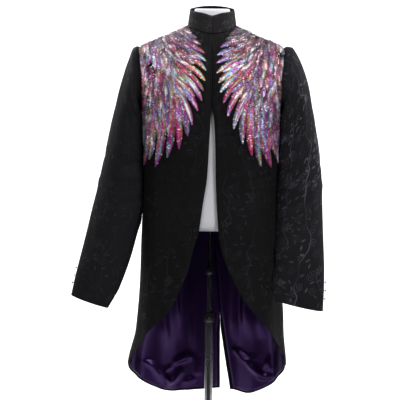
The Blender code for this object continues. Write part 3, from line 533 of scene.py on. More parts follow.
def flat_noise(tree: NodeTree, place: NodeSocket, scale: float,
               detail: float) -> NodeSocket:
    """Soft noise over a flat map."""
    return add_node(tree, "ShaderNodeTexNoise", {"Vector": place, "Scale": scale, "Detail": detail},
                    noise_dimensions="2D")


def new_material(name: str, colour: str) -> tuple[Material, NodeTree, Node]:
    """A material of this name and viewport colour, with its tree and its shader."""
    material = bpy.data.materials.new(name)
    material.use_nodes = True
    material.diffuse_color = linear(colour)
    tree = material.node_tree
    return material, tree, tree.nodes["Principled BSDF"]


@dataclass(frozen=True)
class Jacquard:
    """Viscose jacquard, black on black: a dull warp ground with satin-woven scrolls, whose lighter colour is
    painted sheen, strong in patches and faint elsewhere.
    """

    name: str = "jacquard_scroll_weave"
    ground: str = "#0e0e10"
    # The figure's colour, lighter than the ground: the woven figure with its sheen painted in
    motif_sheen: str = "#1c1c20"
    vine_m: tuple[float, float] = (0.070, 0.110)
    curl_m: float = 0.031
    leaf_m: float = 0.019
    flower_m: float = 0.110
    thread_m: float = 0.0014
    shine: float = 1.0
    specular: float = 0.14
    ground_rough: float = 0.86
    float_rough: float = 0.62

    def cells(self, tree: NodeTree, uv: NodeSocket, size: float,
              shift: tuple[float, float, float]) -> tuple[NodeSocket, ...]:
        """Scatters cells of one size over the cloth.

        Args:
            tree: the material's node tree.
            uv: the cloth's flat map, in metres.
            size: the cells' size in metres.
            shift: how far this layer is moved from the others.

        Returns:
            The place within a cell, its distance from the cell's centre, and three random shares.
        """
        scaled = add_node(tree, "ShaderNodeMapping",
                          {"Vector": uv, "Location": shift, "Scale": (1 / size, 1 / size, 1)})
        spot = add_node(tree, "ShaderNodeTexVoronoi", {"Vector": scaled, "Scale": 1.0, "Randomness": 0.8},
                        out="Position", voronoi_dimensions="2D")
        local = add_node(tree, "ShaderNodeVectorMath", {0: scaled, 1: spot}, operation="SUBTRACT")
        far = add_node(tree, "ShaderNodeVectorMath", {0: local}, out="Value", operation="LENGTH")
        red = add_node(tree, "ShaderNodeSeparateColor", {"Color": spot.node.outputs["Color"]})
        return local, far, red, red.node.outputs[1], red.node.outputs[2]

    def soft(self, tree: NodeTree, value: NodeSocket, off: float,
             on: float) -> NodeSocket:
        """A soft mask: 0 where the value is past the off end, and 1 past the on end."""
        return add_node(tree, "ShaderNodeMapRange", {"Value": value, "From Min": off, "From Max": on},
                        interpolation_type="SMOOTHSTEP")

    def scrolls(self, tree: NodeTree, uv: NodeSocket) -> NodeSocket:
        """Draws the figure: winding stems, curls, leaves and small flowers.

        Args:
            tree: the material's node tree.
            uv: the cloth's flat map, in metres.

        Returns:
            The figure, from 0 on the ground to 1.
        """
        pitch, wander = self.vine_m
        slow = flat_noise(tree, uv, 0.55 / wander, 1.0)
        fast = flat_noise(tree, uv, 2.1 / wander, 0.5)
        x = add_node(tree, "ShaderNodeSeparateXYZ", {0: uv})
        x = calc(tree, "MULTIPLY_ADD", slow, wander, x)
        x = calc(tree, "MULTIPLY_ADD", fast, wander * 0.30, x)
        x = calc(tree, "MULTIPLY", x, 1 / pitch)
        x = calc(tree, "FRACT", x)
        off = calc(tree, "SUBTRACT", x, 0.5)
        off = calc(tree, "ABSOLUTE", off)
        figure = self.soft(tree, off, 0.0016 / pitch, 0.0006 / pitch)

        local, far, red, green, blue = self.cells(tree, uv, self.curl_m, (0.0, 0.0, 0.0))
        x = add_node(tree, "ShaderNodeSeparateXYZ", {0: local})
        angle = calc(tree, "ARCTAN2", x.node.outputs[1], x)
        turn = calc(tree, "MULTIPLY_ADD", angle, 1 / math.tau, red)
        hand = calc(tree, "GREATER_THAN", green, 0.5)
        hand = calc(tree, "MULTIPLY_ADD", hand, 2.0, -1.0)
        phase = calc(tree, "MULTIPLY", turn, hand)
        phase = calc(tree, "MULTIPLY_ADD", far, 5.2, phase)
        phase = calc(tree, "FRACT", phase)
        phase = calc(tree, "SUBTRACT", phase, 0.5)
        phase = calc(tree, "ABSOLUTE", phase)
        curl = self.soft(tree, phase, 0.15, 0.07)
        near = self.soft(tree, far, 0.40, 0.34)
        kept = self.soft(tree, blue, 0.36, 0.40)
        curl = calc(tree, "MULTIPLY", curl, near)
        curl = calc(tree, "MULTIPLY", curl, kept)
        figure = calc(tree, "MAXIMUM", figure, curl)

        local, far, red, green, blue = self.cells(tree, uv, self.leaf_m, (3.3, 1.7, 0.0))
        lean = calc(tree, "MULTIPLY", red, math.tau)
        turned = add_node(tree, "ShaderNodeVectorRotate", {"Vector": local, "Angle": lean},
                          rotation_type="Z_AXIS")
        x = add_node(tree, "ShaderNodeSeparateXYZ", {0: turned})
        square = calc(tree, "MULTIPLY", x, x)
        half = calc(tree, "MULTIPLY_ADD", square, -0.95, 0.15)
        y = calc(tree, "ABSOLUTE", x.node.outputs[1])
        edge = calc(tree, "SUBTRACT", y, half)
        leaf = self.soft(tree, edge, 0.02, -0.02)
        kept = self.soft(tree, green, 0.50, 0.54)
        leaf = calc(tree, "MULTIPLY", leaf, kept)
        figure = calc(tree, "MAXIMUM", figure, leaf)

        local, far, red, green, blue = self.cells(tree, uv, self.flower_m, (7.1, 4.9, 0.0))
        x = add_node(tree, "ShaderNodeSeparateXYZ", {0: local})
        angle = calc(tree, "ARCTAN2", x.node.outputs[1], x)
        petals = calc(tree, "MULTIPLY_ADD", angle, 5.0, lean)
        petals = calc(tree, "COSINE", petals)
        rim = calc(tree, "MULTIPLY_ADD", petals, 0.030, 0.085)
        edge = calc(tree, "SUBTRACT", far, rim)
        petal = self.soft(tree, edge, 0.006, -0.006)
        heart = self.soft(tree, far, 0.018, 0.030)
        petal = calc(tree, "MULTIPLY", petal, heart)
        return calc(tree, "MAXIMUM", figure, petal)

    def build(self) -> Material:
        """Makes the material.

        Returns:
            The jacquard, which reads the piece's own flat map.
        """
        material, tree, shader = new_material(self.name, self.ground)
        uv = add_node(tree, "ShaderNodeTexCoord", out="UV")
        figure = self.scrolls(tree, uv)
        # Painted sheen: noise patches set how strongly the figure's lighter colour shows
        sheen_patch_noise = flat_noise(tree, uv, 7.0, 1.5)
        painted_sheen_patches = self.soft(tree, sheen_patch_noise, 0.42, 0.66)
        painted_sheen_patches = calc(tree, "MULTIPLY_ADD", painted_sheen_patches, 0.75 * self.shine, 0.25 * self.shine)
        shown = calc(tree, "MULTIPLY", figure, painted_sheen_patches)
        fine = add_node(tree, "ShaderNodeMapping",
                        {"Vector": uv, "Rotation": (0, 0, math.radians(35)),
                         "Scale": (1 / self.thread_m, 0.25 / self.thread_m, 1)})
        threads = flat_noise(tree, fine, 1.0, 1.0)
        colour = add_node(tree, "ShaderNodeMix",
                          {0: shown, 6: linear(self.ground), 7: linear(self.motif_sheen)}, out=2, data_type="RGBA")
        shade = add_node(tree, "ShaderNodeMapRange", {"Value": threads, "To Min": 0.75, "To Max": 1.25})
        colour = add_node(tree, "ShaderNodeVectorMath", {0: colour, 3: shade}, operation="SCALE")
        tree.links.new(colour, shader.inputs["Base Color"])
        rough = add_node(tree, "ShaderNodeMapRange",
                         {"Value": shown, "To Min": self.ground_rough, "To Max": self.float_rough})
        tree.links.new(rough, shader.inputs["Roughness"])
        height = calc(tree, "MULTIPLY_ADD", threads, 0.35, figure)
        bump = add_node(tree, "ShaderNodeBump", {"Strength": 0.5, "Distance": 0.0005, "Height": height})
        tree.links.new(bump, shader.inputs["Normal"])
        shader.inputs["Specular IOR Level"].default_value = self.specular
        return material


@dataclass(frozen=True)
class PlainFinish:
    """A finish of one colour whose grain comes from noise of a real size."""

    name: str
    colour: str
    roughness: float
    metallic: float = 0.0
    grain_m: float = 0.002
    grain_stretch: tuple[float, float, float] = (1.0, 1.0, 1.0)
    grain_depth: float = 0.0001
    grain_shade: float = 0.10
    rough_spread: float = 0.08
    specular: float = 0.5
    sheen: float = 0.0
    on_cloth: bool = False

    def build(self) -> Material:
        """Makes the material.

        Returns:
            The finished material.
        """
        material, tree, shader = new_material(self.name, self.colour)
        place = add_node(tree, "ShaderNodeTexCoord", out="UV" if self.on_cloth else "Object")
        scale = tuple(part / self.grain_m for part in self.grain_stretch)
        place = add_node(tree, "ShaderNodeMapping", {"Vector": place, "Scale": scale})
        grain = add_node(tree, "ShaderNodeTexNoise", {"Vector": place, "Scale": 1.0, "Detail": 2.0})
        shade = add_node(tree, "ShaderNodeMapRange",
                         {"Value": grain, "To Min": 1 - self.grain_shade, "To Max": 1 + self.grain_shade})
        colour = add_node(tree, "ShaderNodeVectorMath", {0: linear(self.colour)[:3], 3: shade},
                          operation="SCALE")
        tree.links.new(colour, shader.inputs["Base Color"])
        rough = add_node(tree, "ShaderNodeMapRange",
                         {"Value": grain, "To Min": self.roughness - self.rough_spread,
                          "To Max": self.roughness + self.rough_spread})
        tree.links.new(rough, shader.inputs["Roughness"])
        bump = add_node(tree, "ShaderNodeBump",
                        {"Strength": 0.5, "Distance": self.grain_depth, "Height": grain})
        tree.links.new(bump, shader.inputs["Normal"])
        shader.inputs["Metallic"].default_value = self.metallic
        if not self.metallic:
            shader.inputs["Specular IOR Level"].default_value = self.specular
        shader.inputs["Sheen Weight"].default_value = self.sheen
        return material


@dataclass(frozen=True)
class SequinFoil:
    """Iridescent foil sequins: thin metallised plastic, each with its own colour on the mesh."""

    name: str = "sequin_foil"
    roughness: float = 0.33
    metallic: float = 0.45

    def build(self) -> Material:
        """Makes the material.

        Returns:
            The foil, which reads each sequin's colour from the mesh.
        """
        material, tree, shader = new_material(self.name, "#b060b0")
        colour = add_node(tree, "ShaderNodeAttribute", out="Color", attribute_name="foil")
        tree.links.new(colour, shader.inputs["Base Color"])
        shader.inputs["Metallic"].default_value = self.metallic
        shader.inputs["Roughness"].default_value = self.roughness
        return material


@dataclass
class Wardrobe:
    """Every finish that the coat, its form and its stand use."""

    jacquard: Material = field(default_factory=Jacquard().build)
    # The facing is the jacquard's dull side, so its figure is faint
    facing: Material = field(default_factory=Jacquard(
        "jacquard_facing", motif_sheen="#101013", shine=0.4, specular=0.08).build)
    # The sleeves are lighter copies of the jacquard as painted light, the wearer's left one most, its
    # brighter figure a painted highlight
    painted_light_sleeve_jacquard: Material = field(default_factory=Jacquard(
        "jacquard_painted_light_sleeve", ground="#161619", motif_sheen="#232327").build)
    painted_highlight_sleeve_jacquard: Material = field(default_factory=Jacquard(
        "jacquard_painted_highlight_sleeve", ground="#17171b", motif_sheen="#46464d", float_rough=0.42).build)
    # The collar is fused to a firm interlining, which flattens its face
    collar_jacquard: Material = field(default_factory=Jacquard(
        "jacquard_fused_collar", ground="#1d1b1d", motif_sheen="#29272a", specular=0.2).build)
    # Acetate satin: long floats along the warp, so the grain is drawn out that way
    satin: Material = field(default_factory=PlainFinish(
        "acetate_satin_purple", "#2c1344", 0.32, metallic=0.75, grain_m=0.0012,
        grain_stretch=(1.0, 0.08, 1.0), grain_depth=0.00006, grain_shade=0.16, on_cloth=True).build)
    foil: Material = field(default_factory=SequinFoil().build)
    # Nylon net, dull between the sequins
    net: Material = field(default_factory=PlainFinish(
        "sequin_backing_net", "#0e0b0e", 0.8, grain_m=0.0016, grain_shade=0.3, specular=0.1).build)
    # Cast pewter, silver plated
    silver: Material = field(default_factory=PlainFinish(
        "cast_silver_metal", "#c9c9cf", 0.22, metallic=1.0, grain_m=0.0015).build)
    # Cotton jersey over foam: fine vertical ribs about 1.5 mm apart, drawn 2 mm to show
    jersey: Material = field(default_factory=PlainFinish(
        "cotton_jersey_white", "#cfcfd3", 0.88, grain_m=0.002, grain_stretch=(1.0, 1.0, 0.15),
        grain_depth=0.0002, grain_shade=0.05, specular=0.3, sheen=0.15).build)
    # Drawn steel tube with satin chrome, its draw lines along the tube
    chrome: Material = field(default_factory=PlainFinish(
        "satin_chromed_steel_tube", "#9a9b9e", 0.16, metallic=0.9, grain_m=0.004,
        grain_stretch=(1.0, 1.0, 0.2), grain_depth=0.00001, grain_shade=0.05, rough_spread=0.05).build)
    # Injection-moulded nylon with a fine spark-eroded texture
    plastic: Material = field(default_factory=PlainFinish(
        "moulded_black_nylon", "#141416", 0.42, grain_m=0.0012, grain_depth=0.00005).build)
    # Powder coat with its usual orange peel
    paint: Material = field(default_factory=PlainFinish(
        "black_powder_coat", "#18181a", 0.5, grain_m=0.0015, grain_depth=0.00012).build)


def dress(obj: Object, slot: str, *nodes: str, body: str = "mannequin") -> Object:
    """Gives a piece its body, and hides the solids that it stands for.

    Args:
        obj: the piece.
        slot: the record's material slot; not used.
        nodes: the solids that it replaces, if any.
        body: the body that it rides on.

    Returns:
        The piece.
    """
    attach(obj, body)
    if nodes:
        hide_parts(*nodes)
    LOG.info("made %s", obj.name)
    return obj


def refinish(node: str, material: Material) -> Object:
    """Gives its finish to a solid that is shown as it is."""
    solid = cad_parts[node]
    solid.data.materials.clear()
    solid.data.materials.append(material)
    return solid


@dataclass
class CoatBody:
    """The fronts, backs and tail linings, all laid on the same rings."""

    finishes: Wardrobe
    columns: int = 44
    facing_width: float = 0.055
    lining_inset: tuple[float, float] = (0.006, 0.008)
    lining_seam: float = 0.0015
    front_creases: dict[Hand, tuple[Crease, ...]] = field(default_factory=lambda: {
        Hand.RIGHT: laid_creases(
            (-0.039, 1.4264, -0.0129, 1.4215, 0.004, -0.0016),
            (-0.176, 1.185, -0.12, 1.12, 0.011, -0.0024, 0.006, 0.1, 0.6),
            (-0.172, 1.075, -0.1, 1.03, 0.013, -0.0022, -0.005, 0.1, 0.6),
            (-0.168, 0.985, -0.085, 0.96, 0.014, 0.002, 0.004, 0.15, 0.6),
            (-0.15, 0.9, -0.13, 0.64, 0.024, 0.0038, 0.01),
            (-0.095, 0.92, -0.098, 0.74, 0.02, -0.0028, -0.006),
            (-0.06, 1.1, -0.05, 0.9, 0.02, 0.0018, 0.004),
        ),
        Hand.LEFT: laid_creases(
            (0.0227, 1.1627, 0.0568, 1.1875, 0.005, -0.0022, 0.001),
            (0.176, 1.195, 0.125, 1.135, 0.011, -0.0022, -0.006, 0.1, 0.6),
            (0.172, 1.085, 0.095, 1.05, 0.013, -0.0024, 0.004, 0.1, 0.6),
            (0.168, 1, 0.09, 0.955, 0.014, 0.0018, -0.005, 0.15, 0.6),
            (0.14, 0.89, 0.158, 0.65, 0.024, 0.0036, -0.008), (0.092, 0.94, 0.1, 0.76, 0.02, -0.003, 0.006),
            (0.05, 1.08, 0.06, 0.91, 0.02, 0.0016, -0.004),
        ),
    })
    back_creases: dict[Hand, tuple[Crease, ...]] = field(default_factory=lambda: {
        Hand.RIGHT: laid_creases(
            (-0.165, 1.19, -0.07, 1.13, 0.012, -0.0026, 0.008, 0.1, 0.6),
            (-0.165, 1.06, -0.06, 1.02, 0.012, -0.0026, -0.005, 0.1, 0.6),
            (-0.16, 1.01, -0.075, 0.99, 0.013, 0.0022, 0.004, 0.1, 0.6),
            (-0.05, 1.435, -0.11, 1.345, 0.014, 0.0018, 0.006),
            (-0.012, 1.3, -0.01, 1.06, 0.016, -0.0014, 0.002),
            (-0.12, 0.8, -0.138, 0.48, 0.022, 0.0032, 0.006, 0.4, 0),
            (-0.07, 0.76, -0.062, 0.44, 0.018, -0.003, -0.004, 0.4, 0),
        ),
        Hand.LEFT: laid_creases(
            (0.165, 1.175, 0.08, 1.12, 0.012, -0.0024, -0.008, 0.1, 0.6),
            (0.165, 1.07, 0.065, 1.035, 0.012, -0.0028, 0.005, 0.1, 0.6),
            (0.16, 1, 0.07, 0.985, 0.013, 0.002, -0.004, 0.1, 0.6),
            (0.052, 1.432, 0.105, 1.35, 0.014, 0.0016, -0.006),
            (0.125, 0.82, 0.13, 0.49, 0.022, 0.003, -0.006, 0.4, 0),
            (0.09, 0.74, 0.098, 0.45, 0.018, -0.0032, 0.004, 0.4, 0),
        ),
    })
    lining_creases: dict[Hand, tuple[Crease, ...]] = field(default_factory=lambda: {
        Hand.RIGHT: laid_creases(
            (-0.19, 0.505, -0.118, 0.418, 0.01, 0.011, 0.012, 0.2, 0.2),
            (-0.122, 0.418, -0.078, 0.474, 0.009, 0.009, -0.005, 0.3, 0.3),
            (-0.1, 0.48, -0.046, 0.509, 0.009, 0.01, 0.006, 0.2, 0.2),
            (-0.046, 0.509, -0.033, 0.446, 0.006, 0.007, 0.002, 0.3, 0.2),
            (-0.072, 0.42, -0.034, 0.444, 0.007, 0.007, 0.003),
            (-0.15, 0.455, -0.1, 0.48, 0.006, 0.004, 0.004),
            (-0.052, 0.78, -0.048, 0.5, 0.008, 0.008, 0.003, 0.3, 0.3),
            (-0.15, 0.76, -0.13, 0.52, 0.014, 0.008, 0.006),
            (-0.1, 0.86, -0.086, 0.54, 0.012, 0.008, -0.005),
        ),
        Hand.LEFT: laid_creases(
            (0.066, 0.8, 0.069, 0.54, 0.009, 0.009, 0.002, 0.3, 0.3),
            (0.066, 0.53, 0.158, 0.447, 0.009, 0.011, 0.008, 0.2, 0.2),
            (0.15, 0.452, 0.188, 0.462, 0.007, 0.008, 0.003, 0.3, 0.2),
            (0.164, 0.516, 0.158, 0.474, 0.006, 0.006, 0.003),
            (0.17, 0.53, 0.18, 0.47, 0.006, 0.007, -0.003), (0.09, 0.5, 0.14, 0.52, 0.008, 0.004, -0.004),
            (0.11, 0.82, 0.112, 0.56, 0.014, 0.008, -0.005), (0.15, 0.74, 0.142, 0.56, 0.012, 0.007, 0.004),
        ),
    })

    def levels(self, bottom: float) -> np.ndarray:
        """The rows' levels from this one up, close where the armhole and the shoulder bend."""
        rise = ARMHOLE_MIDDLE - ARMHOLE_HALF * np.cos(np.linspace(0, math.pi, 40))
        shoulder = np.linspace(SHOULDER, NECKLINE, 26)
        straight = np.linspace(bottom, UNDERARM, max(int((UNDERARM - bottom) / 0.006), 8))
        return np.concatenate([straight[:-1], rise[:-1], shoulder])

    def laid(self, quarter: CoatQuarter, level: np.ndarray, turn: np.ndarray, seam: float) -> ClothPiece:
        """Lays a grid of levels and turns on a quarter of the coat.

        Args:
            quarter: the quarter of the coat's outside.
            level: each place's level.
            turn: each place's turn.
            seam: how far the side seam's column moves along Y.

        Returns:
            The laid-out cloth.
        """
        points, normals = quarter.points(level, turn), quarter.normals(level, turn)
        flat = np.stack([quarter.side * quarter.across(level, turn), points[..., 2]], axis=-1)
        points[:, 0, 1] += np.where(turn[:, 0] < 1e-6, seam, 0.0)
        points[..., 0] += quarter.side * swing(points, quarter.side)
        return ClothPiece(points, normals, flat)

    def front(self, hand: Hand) -> ClothPiece:
        """Lays out a front, from the side seam and armhole to its cut-away edge."""
        quarter = CoatQuarter(hand.side, back=False)
        level = self.levels(FRONT_BOTTOM)[:, None]
        edge = Curve(FRONT_EDGES[:, 0], FRONT_EDGES[:, 1 if hand is Hand.RIGHT else 2])
        first, last = quarter.first_turn(level), quarter.turn_at(level, edge(level))
        share = np.linspace(0, 1, self.columns + 1)[None, :]
        turn = first + (last - first) * share
        return self.laid(quarter, np.broadcast_to(level, turn.shape), turn, -HALF_GAP)

    def back(self, hand: Hand, lining: bool = False) -> ClothPiece:
        """Lays out a back, or the lining inside its tail.

        Args:
            hand: the wearer's side.
            lining: whether the grid stops at the facings and at the lining's top.

        Returns:
            The laid-out cloth, on the coat's outside.
        """
        quarter = CoatQuarter(hand.side, back=True)
        line = Curve(BACK_EDGES[:, 0], BACK_EDGES[:, 1 if hand is Hand.RIGHT else 2])
        hem_inset = self.lining_inset[0] if lining else 0.0

        def last_turn(level: np.ndarray) -> np.ndarray:
            """The turn at the centre edge, or at the facing."""
            edge = hand.side * line(level)
            if not lining:
                return quarter.turn_at(level, edge + HALF_GAP * smoothstep(level, 0.60, 0.58))
            # Above the vent the two linings meet, a little to one side of the backs' own seam
            inset = self.lining_inset[1] * (1 - smoothstep(level, 0.585, 0.66))
            return quarter.turn_at(level, edge + inset + HALF_GAP + hand.side * self.lining_seam)

        share = np.linspace(0, 1, self.columns + 1)[None, :]
        top = np.array([[TAIL_TOP]])
        hem = Curve(HEM[:, 0], HEM[:, 1])(np.degrees(last_turn(top) * share)) + hem_inset
        climb = np.linspace(0, 1, 36)[:, None]
        tail = hem + (TAIL_TOP - hem) * climb
        above = self.levels(TAIL_TOP)[1:, None]
        if lining:
            above = np.linspace(TAIL_TOP, LINING_TOP, 50)[1:, None]
        level = np.concatenate([tail, np.broadcast_to(above, (len(above), share.size))])
        first = quarter.first_turn(level)
        turn = first + (last_turn(level) - first) * share
        return self.laid(quarter, level, turn, HALF_GAP)

    def build(self) -> dict[Hand, Object]:
        """Makes the six cloths.

        Returns:
            The two fronts, for the wings to lie on.
        """
        fronts = {}
        inside = self.finishes.satin
        for hand in Hand:
            own = self.finishes.jacquard
            piece = self.front(hand)
            piece.crumple(self.front_creases[hand], piece.points[..., [0, 2]])
            piece.roll_edges(0.0008, 0.007, "f")
            reach = np.abs(piece.points[:, -1:, 0] - piece.points[..., 0])
            front = sew(f"front_cloth_{hand.value}", piece, CLOTH,
                        [own, inside, own, self.finishes.facing], reach < self.facing_width)
            fronts[hand] = dress(front, "black_jacquard", f"front_{hand.value}")
            piece = self.back(hand)
            piece.crumple(self.back_creases[hand], piece.points[..., [0, 2]])
            piece.roll_edges(0.0008, 0.007, "f")
            back = sew(f"back_cloth_{hand.value}", piece, CLOTH, [own, self.finishes.facing])
            dress(back, "black_jacquard", f"back_{hand.value}")
            piece = self.back(hand, lining=True)
            piece.crumple(self.back_creases[hand], piece.points[..., [0, 2]])
            piece.roll_edges(0.0008, 0.007, "f")
            # The lining only swells away from the tail's cloth, towards the wearer
            moved = push_of(self.lining_creases[hand], piece.points[..., [0, 2]])
            off = CLOTH + 2 * GAP + np.maximum(moved, 0.0)
            piece.points = piece.points - piece.normals * off[..., None]
            lining = sew(f"tail_lining_{hand.value}", piece, LINING_CLOTH, [inside, inside])
            dress(lining, "purple_satin", f"lining_{hand.value}")
        return fronts


@dataclass
class CoatSleeve:
    """A two-piece sleeve: its upper and under cloths, and its cuff buttons."""

    hand: Hand
    finishes: Wardrobe
    front_seam: tuple[float, float] = (150.0, 178.0)
    back_seam: tuple[float, float] = (262.0, 346.0)
    rows_a_ring: int = 8
    corner: float = 0.23
    cuff_facing: float = 0.050
    # Where the sleeve's cloth lies on the jacquard's map
    map_shift: tuple[float, float] = (0.31, 1.4)
    nestle: float = 0.014
    nestle_clearance: float = 0.0012
    nestle_end: dict[Hand, tuple[float, float]] = field(default_factory=lambda: {
        Hand.RIGHT: (9.0, 10.8), Hand.LEFT: (11.4, 13.0)})
    # On a map of distance round the sleeve and distance down from the shoulder
    under_creases: tuple[Crease, ...] = laid_creases(
        (-0.06, 0.3, 0.05, 0.33, 0.012, -0.003, 0.006), (-0.05, 0.36, 0.04, 0.35, 0.011, 0.0026, -0.005),
        (-0.04, 0.46, 0.04, 0.44, 0.01, -0.002, 0.004), (0, 0.06, 0.01, 0.24, 0.016, 0.0028, 0.006),
    )
    upper_creases: dict[Hand, tuple[Crease, ...]] = field(default_factory=lambda: {
        Hand.RIGHT: laid_creases(
            (-0.02, 0.02, -0.012, 0.2, 0.022, 0.003, 0.008),
            (0.06, 0.03, 0.045, 0.22, 0.018, -0.0032, -0.006),
            (0.11, 0.1, 0.03, 0.21, 0.014, -0.0036, 0.008, 0.1, 0.5),
            (0.115, 0.26, 0.02, 0.33, 0.013, -0.0032, 0.007, 0.1, 0.5),
            (0.112, 0.31, 0.015, 0.36, 0.013, 0.003, 0.006, 0.1, 0.5),
            (0.11, 0.38, 0.02, 0.42, 0.012, -0.0028, -0.005, 0.1, 0.5),
            (-0.11, 0.28, -0.03, 0.35, 0.013, -0.0028, -0.006, 0.1, 0.5),
            (-0.105, 0.36, -0.035, 0.4, 0.012, 0.0024, 0.005, 0.1, 0.5),
            (0.03, 0.46, 0.02, 0.62, 0.016, 0.0022, 0.004),
            (-0.045, 0.44, -0.04, 0.6, 0.015, -0.002, -0.004),
        ),
        Hand.LEFT: laid_creases(
            (0.02, 0.02, 0.03, 0.22, 0.022, 0.003, -0.008),
            (-0.055, 0.04, -0.04, 0.24, 0.018, -0.003, 0.006),
            (0.105, 0.12, 0.03, 0.25, 0.014, -0.0036, -0.008, 0.1, 0.5),
            (0.115, 0.27, 0.02, 0.35, 0.013, -0.0034, -0.007, 0.1, 0.5),
            (0.11, 0.33, 0.01, 0.38, 0.013, 0.003, -0.006, 0.1, 0.5),
            (0.105, 0.4, 0.015, 0.44, 0.012, -0.0026, 0.005, 0.1, 0.5),
            (-0.11, 0.3, -0.03, 0.37, 0.013, -0.003, 0.006, 0.1, 0.5),
            (-0.1, 0.4, -0.03, 0.43, 0.012, 0.0024, -0.005, 0.1, 0.5),
            (0.015, 0.48, 0.025, 0.64, 0.016, 0.002, -0.004),
        ),
    })

    def __post_init__(self) -> None:
        """Draws the curves through the sleeve's rings."""
        table = RIGHT_SLEEVE if self.hand is Hand.RIGHT else LEFT_SLEEVE
        self.last = len(table)
        places = np.arange(1, self.last + 1)
        self.curves = [Curve(places, table[:, k]) for k in range(table.shape[1])]
        self.quarters = {back: CoatQuarter(self.hand.side, back) for back in (False, True)}

    def armhole(self, angle: np.ndarray) -> np.ndarray:
        """The sleeve's first ring: the coat's armhole edge, moved out by the seam's gap."""
        level = ARMHOLE_MIDDLE + ARMHOLE_HALF * np.cos(angle)
        found = [q.points(level, q.first_turn(level)) for q in self.quarters.values()]
        spots = np.where(np.sin(angle)[..., None] < 0, found[1], found[0])
        return spots + np.array((self.hand.side * GAP, 0, 0))

    def ring(self, place: np.ndarray, angle: np.ndarray) -> np.ndarray:
        """Points on the rings below the armhole."""
        outer_x, outer_z, inner_x, inner_z, middle, half, dip = (curve(place) for curve in self.curves)
        share = (1 + np.cos(angle)) / 2
        x = inner_x + (outer_x - inner_x) * share
        z = inner_z + (outer_z - inner_z) * share
        y = middle - half * np.sin(angle)
        low = np.where(share < self.corner, share / self.corner, (1 - share) / (1 - self.corner))
        return np.stack(np.broadcast_arrays(self.hand.side * x, y, z - dip * low), axis=-1)

    def points(self, place: np.ndarray, angle: np.ndarray) -> np.ndarray:
        """Places on the sleeve's outside.

        Args:
            place: how many rings down from the armhole.
            angle: 0 outside, then 90 degrees in front, in radians.

        Returns:
            The points, with X, Y and Z last.
        """
        place, angle = np.broadcast_arrays(np.asarray(place, float), angle)
        top = self.armhole(angle)
        share = np.clip(place, 0, 1)[..., None]
        return np.where(share < 1, top + (self.ring(np.ones_like(place), angle) - top) * share,
                        self.ring(place, angle))

    def normals(self, place: np.ndarray, angle: np.ndarray) -> np.ndarray:
        """Outward directions."""
        place, angle = np.broadcast_arrays(np.asarray(place, float), angle)
        low, high = np.maximum(place - 0.05, 0.0), np.minimum(place + 0.05, self.last)
        down = self.points(high, angle) - self.points(low, angle)
        around = self.points(place, angle + 0.02) - self.points(place, angle - 0.02)
        normal = unit(np.cross(down, around))
        ends = self.points(place, np.zeros_like(angle)), self.points(place, np.full_like(angle, math.pi))
        middle = (ends[0] + ends[1]) / 2
        out = ((self.points(place, angle) - middle) * normal).sum(-1, keepdims=True)
        return normal * np.where(out < 0, -1, 1)

    def nestled(self, points: np.ndarray, place: np.ndarray, angle: np.ndarray) -> np.ndarray:
        """Lets the sleeve's fullness lie against the coat's side, so no light shows between them.

        Args:
            points: the sleeve's points.
            place: each point's place down the rings.
            angle: each point's angle.

        Returns:
            The points, with those beside the coat moved towards it.
        """
        reach = np.abs(points[..., 0])
        y, z = points[..., 1], points[..., 2]
        sides = np.zeros_like(reach)
        for back, quarter in self.quarters.items():
            width, depth, square = quarter.width(z), quarter.depth(z), quarter.square(z)
            edge = width * (1 - np.minimum(np.abs(y) / depth, 1.0) ** square) ** (1 / square)
            edge = edge + swing(np.stack([edge, y, z], axis=-1), self.hand.side)
            sides = np.where((y > 0) == back, edge, sides)
        turn = np.degrees(angle) % 360
        near = smoothstep(turn, 85, 135) * (1 - smoothstep(turn, 225, 275))
        held = smoothstep(place, 1.6, 3.5) * (1 - smoothstep(place, *self.nestle_end[self.hand]))
        wanted = np.maximum(reach - self.nestle * near * held, sides + self.nestle_clearance)
        moved = points.copy()
        moved[..., 0] = self.hand.side * np.minimum(reach, wanted)
        return moved

    def laid(self, start: tuple[float, float], end: tuple[float, float], columns: int) -> ClothPiece:
        """Lays out the cloth between two seams, each given at the top and at the cuff in degrees.

        Args:
            start: the first seam's angles.
            end: the last seam's angles.
            columns: the grid's columns.

        Returns:
            The laid-out cloth.
        """
        place = np.linspace(0, self.last, self.last * self.rows_a_ring + 1)[:, None]
        share = smoothstep(place, 1, self.last)
        first = np.radians(start[0] + (start[1] - start[0]) * share)
        last = np.radians(end[0] + (end[1] - end[0]) * share)
        across = self.points(place, first) - self.points(place, first + math.pi)
        radius = np.linalg.norm(across, axis=-1) / 2
        first, last = first + HALF_GAP / radius, last - HALF_GAP / radius
        angle = first + (last - first) * np.linspace(0, 1, columns + 1)[None, :]
        place = np.broadcast_to(place, angle.shape)
        points = self.nestled(self.points(place, angle), place, angle)
        run = np.cumsum(np.linalg.norm(np.diff(points, axis=1), axis=-1), axis=1)
        run = np.concatenate([np.zeros((len(run), 1)), run], axis=1)
        middle = np.array([np.interp(0.5, np.linspace(0, 1, columns + 1), row) for row in run])[:, None]
        drop = np.cumsum(np.linalg.norm(np.diff(points[:, columns // 2], axis=0), axis=-1))
        drop = np.concatenate([[0.0], drop])[:, None]
        across = run - middle + self.map_shift[0] * self.hand.side
        flat = np.stack([across, np.broadcast_to(self.map_shift[1] - drop, run.shape)], axis=-1)
        return ClothPiece(points, self.normals(place, angle), flat)

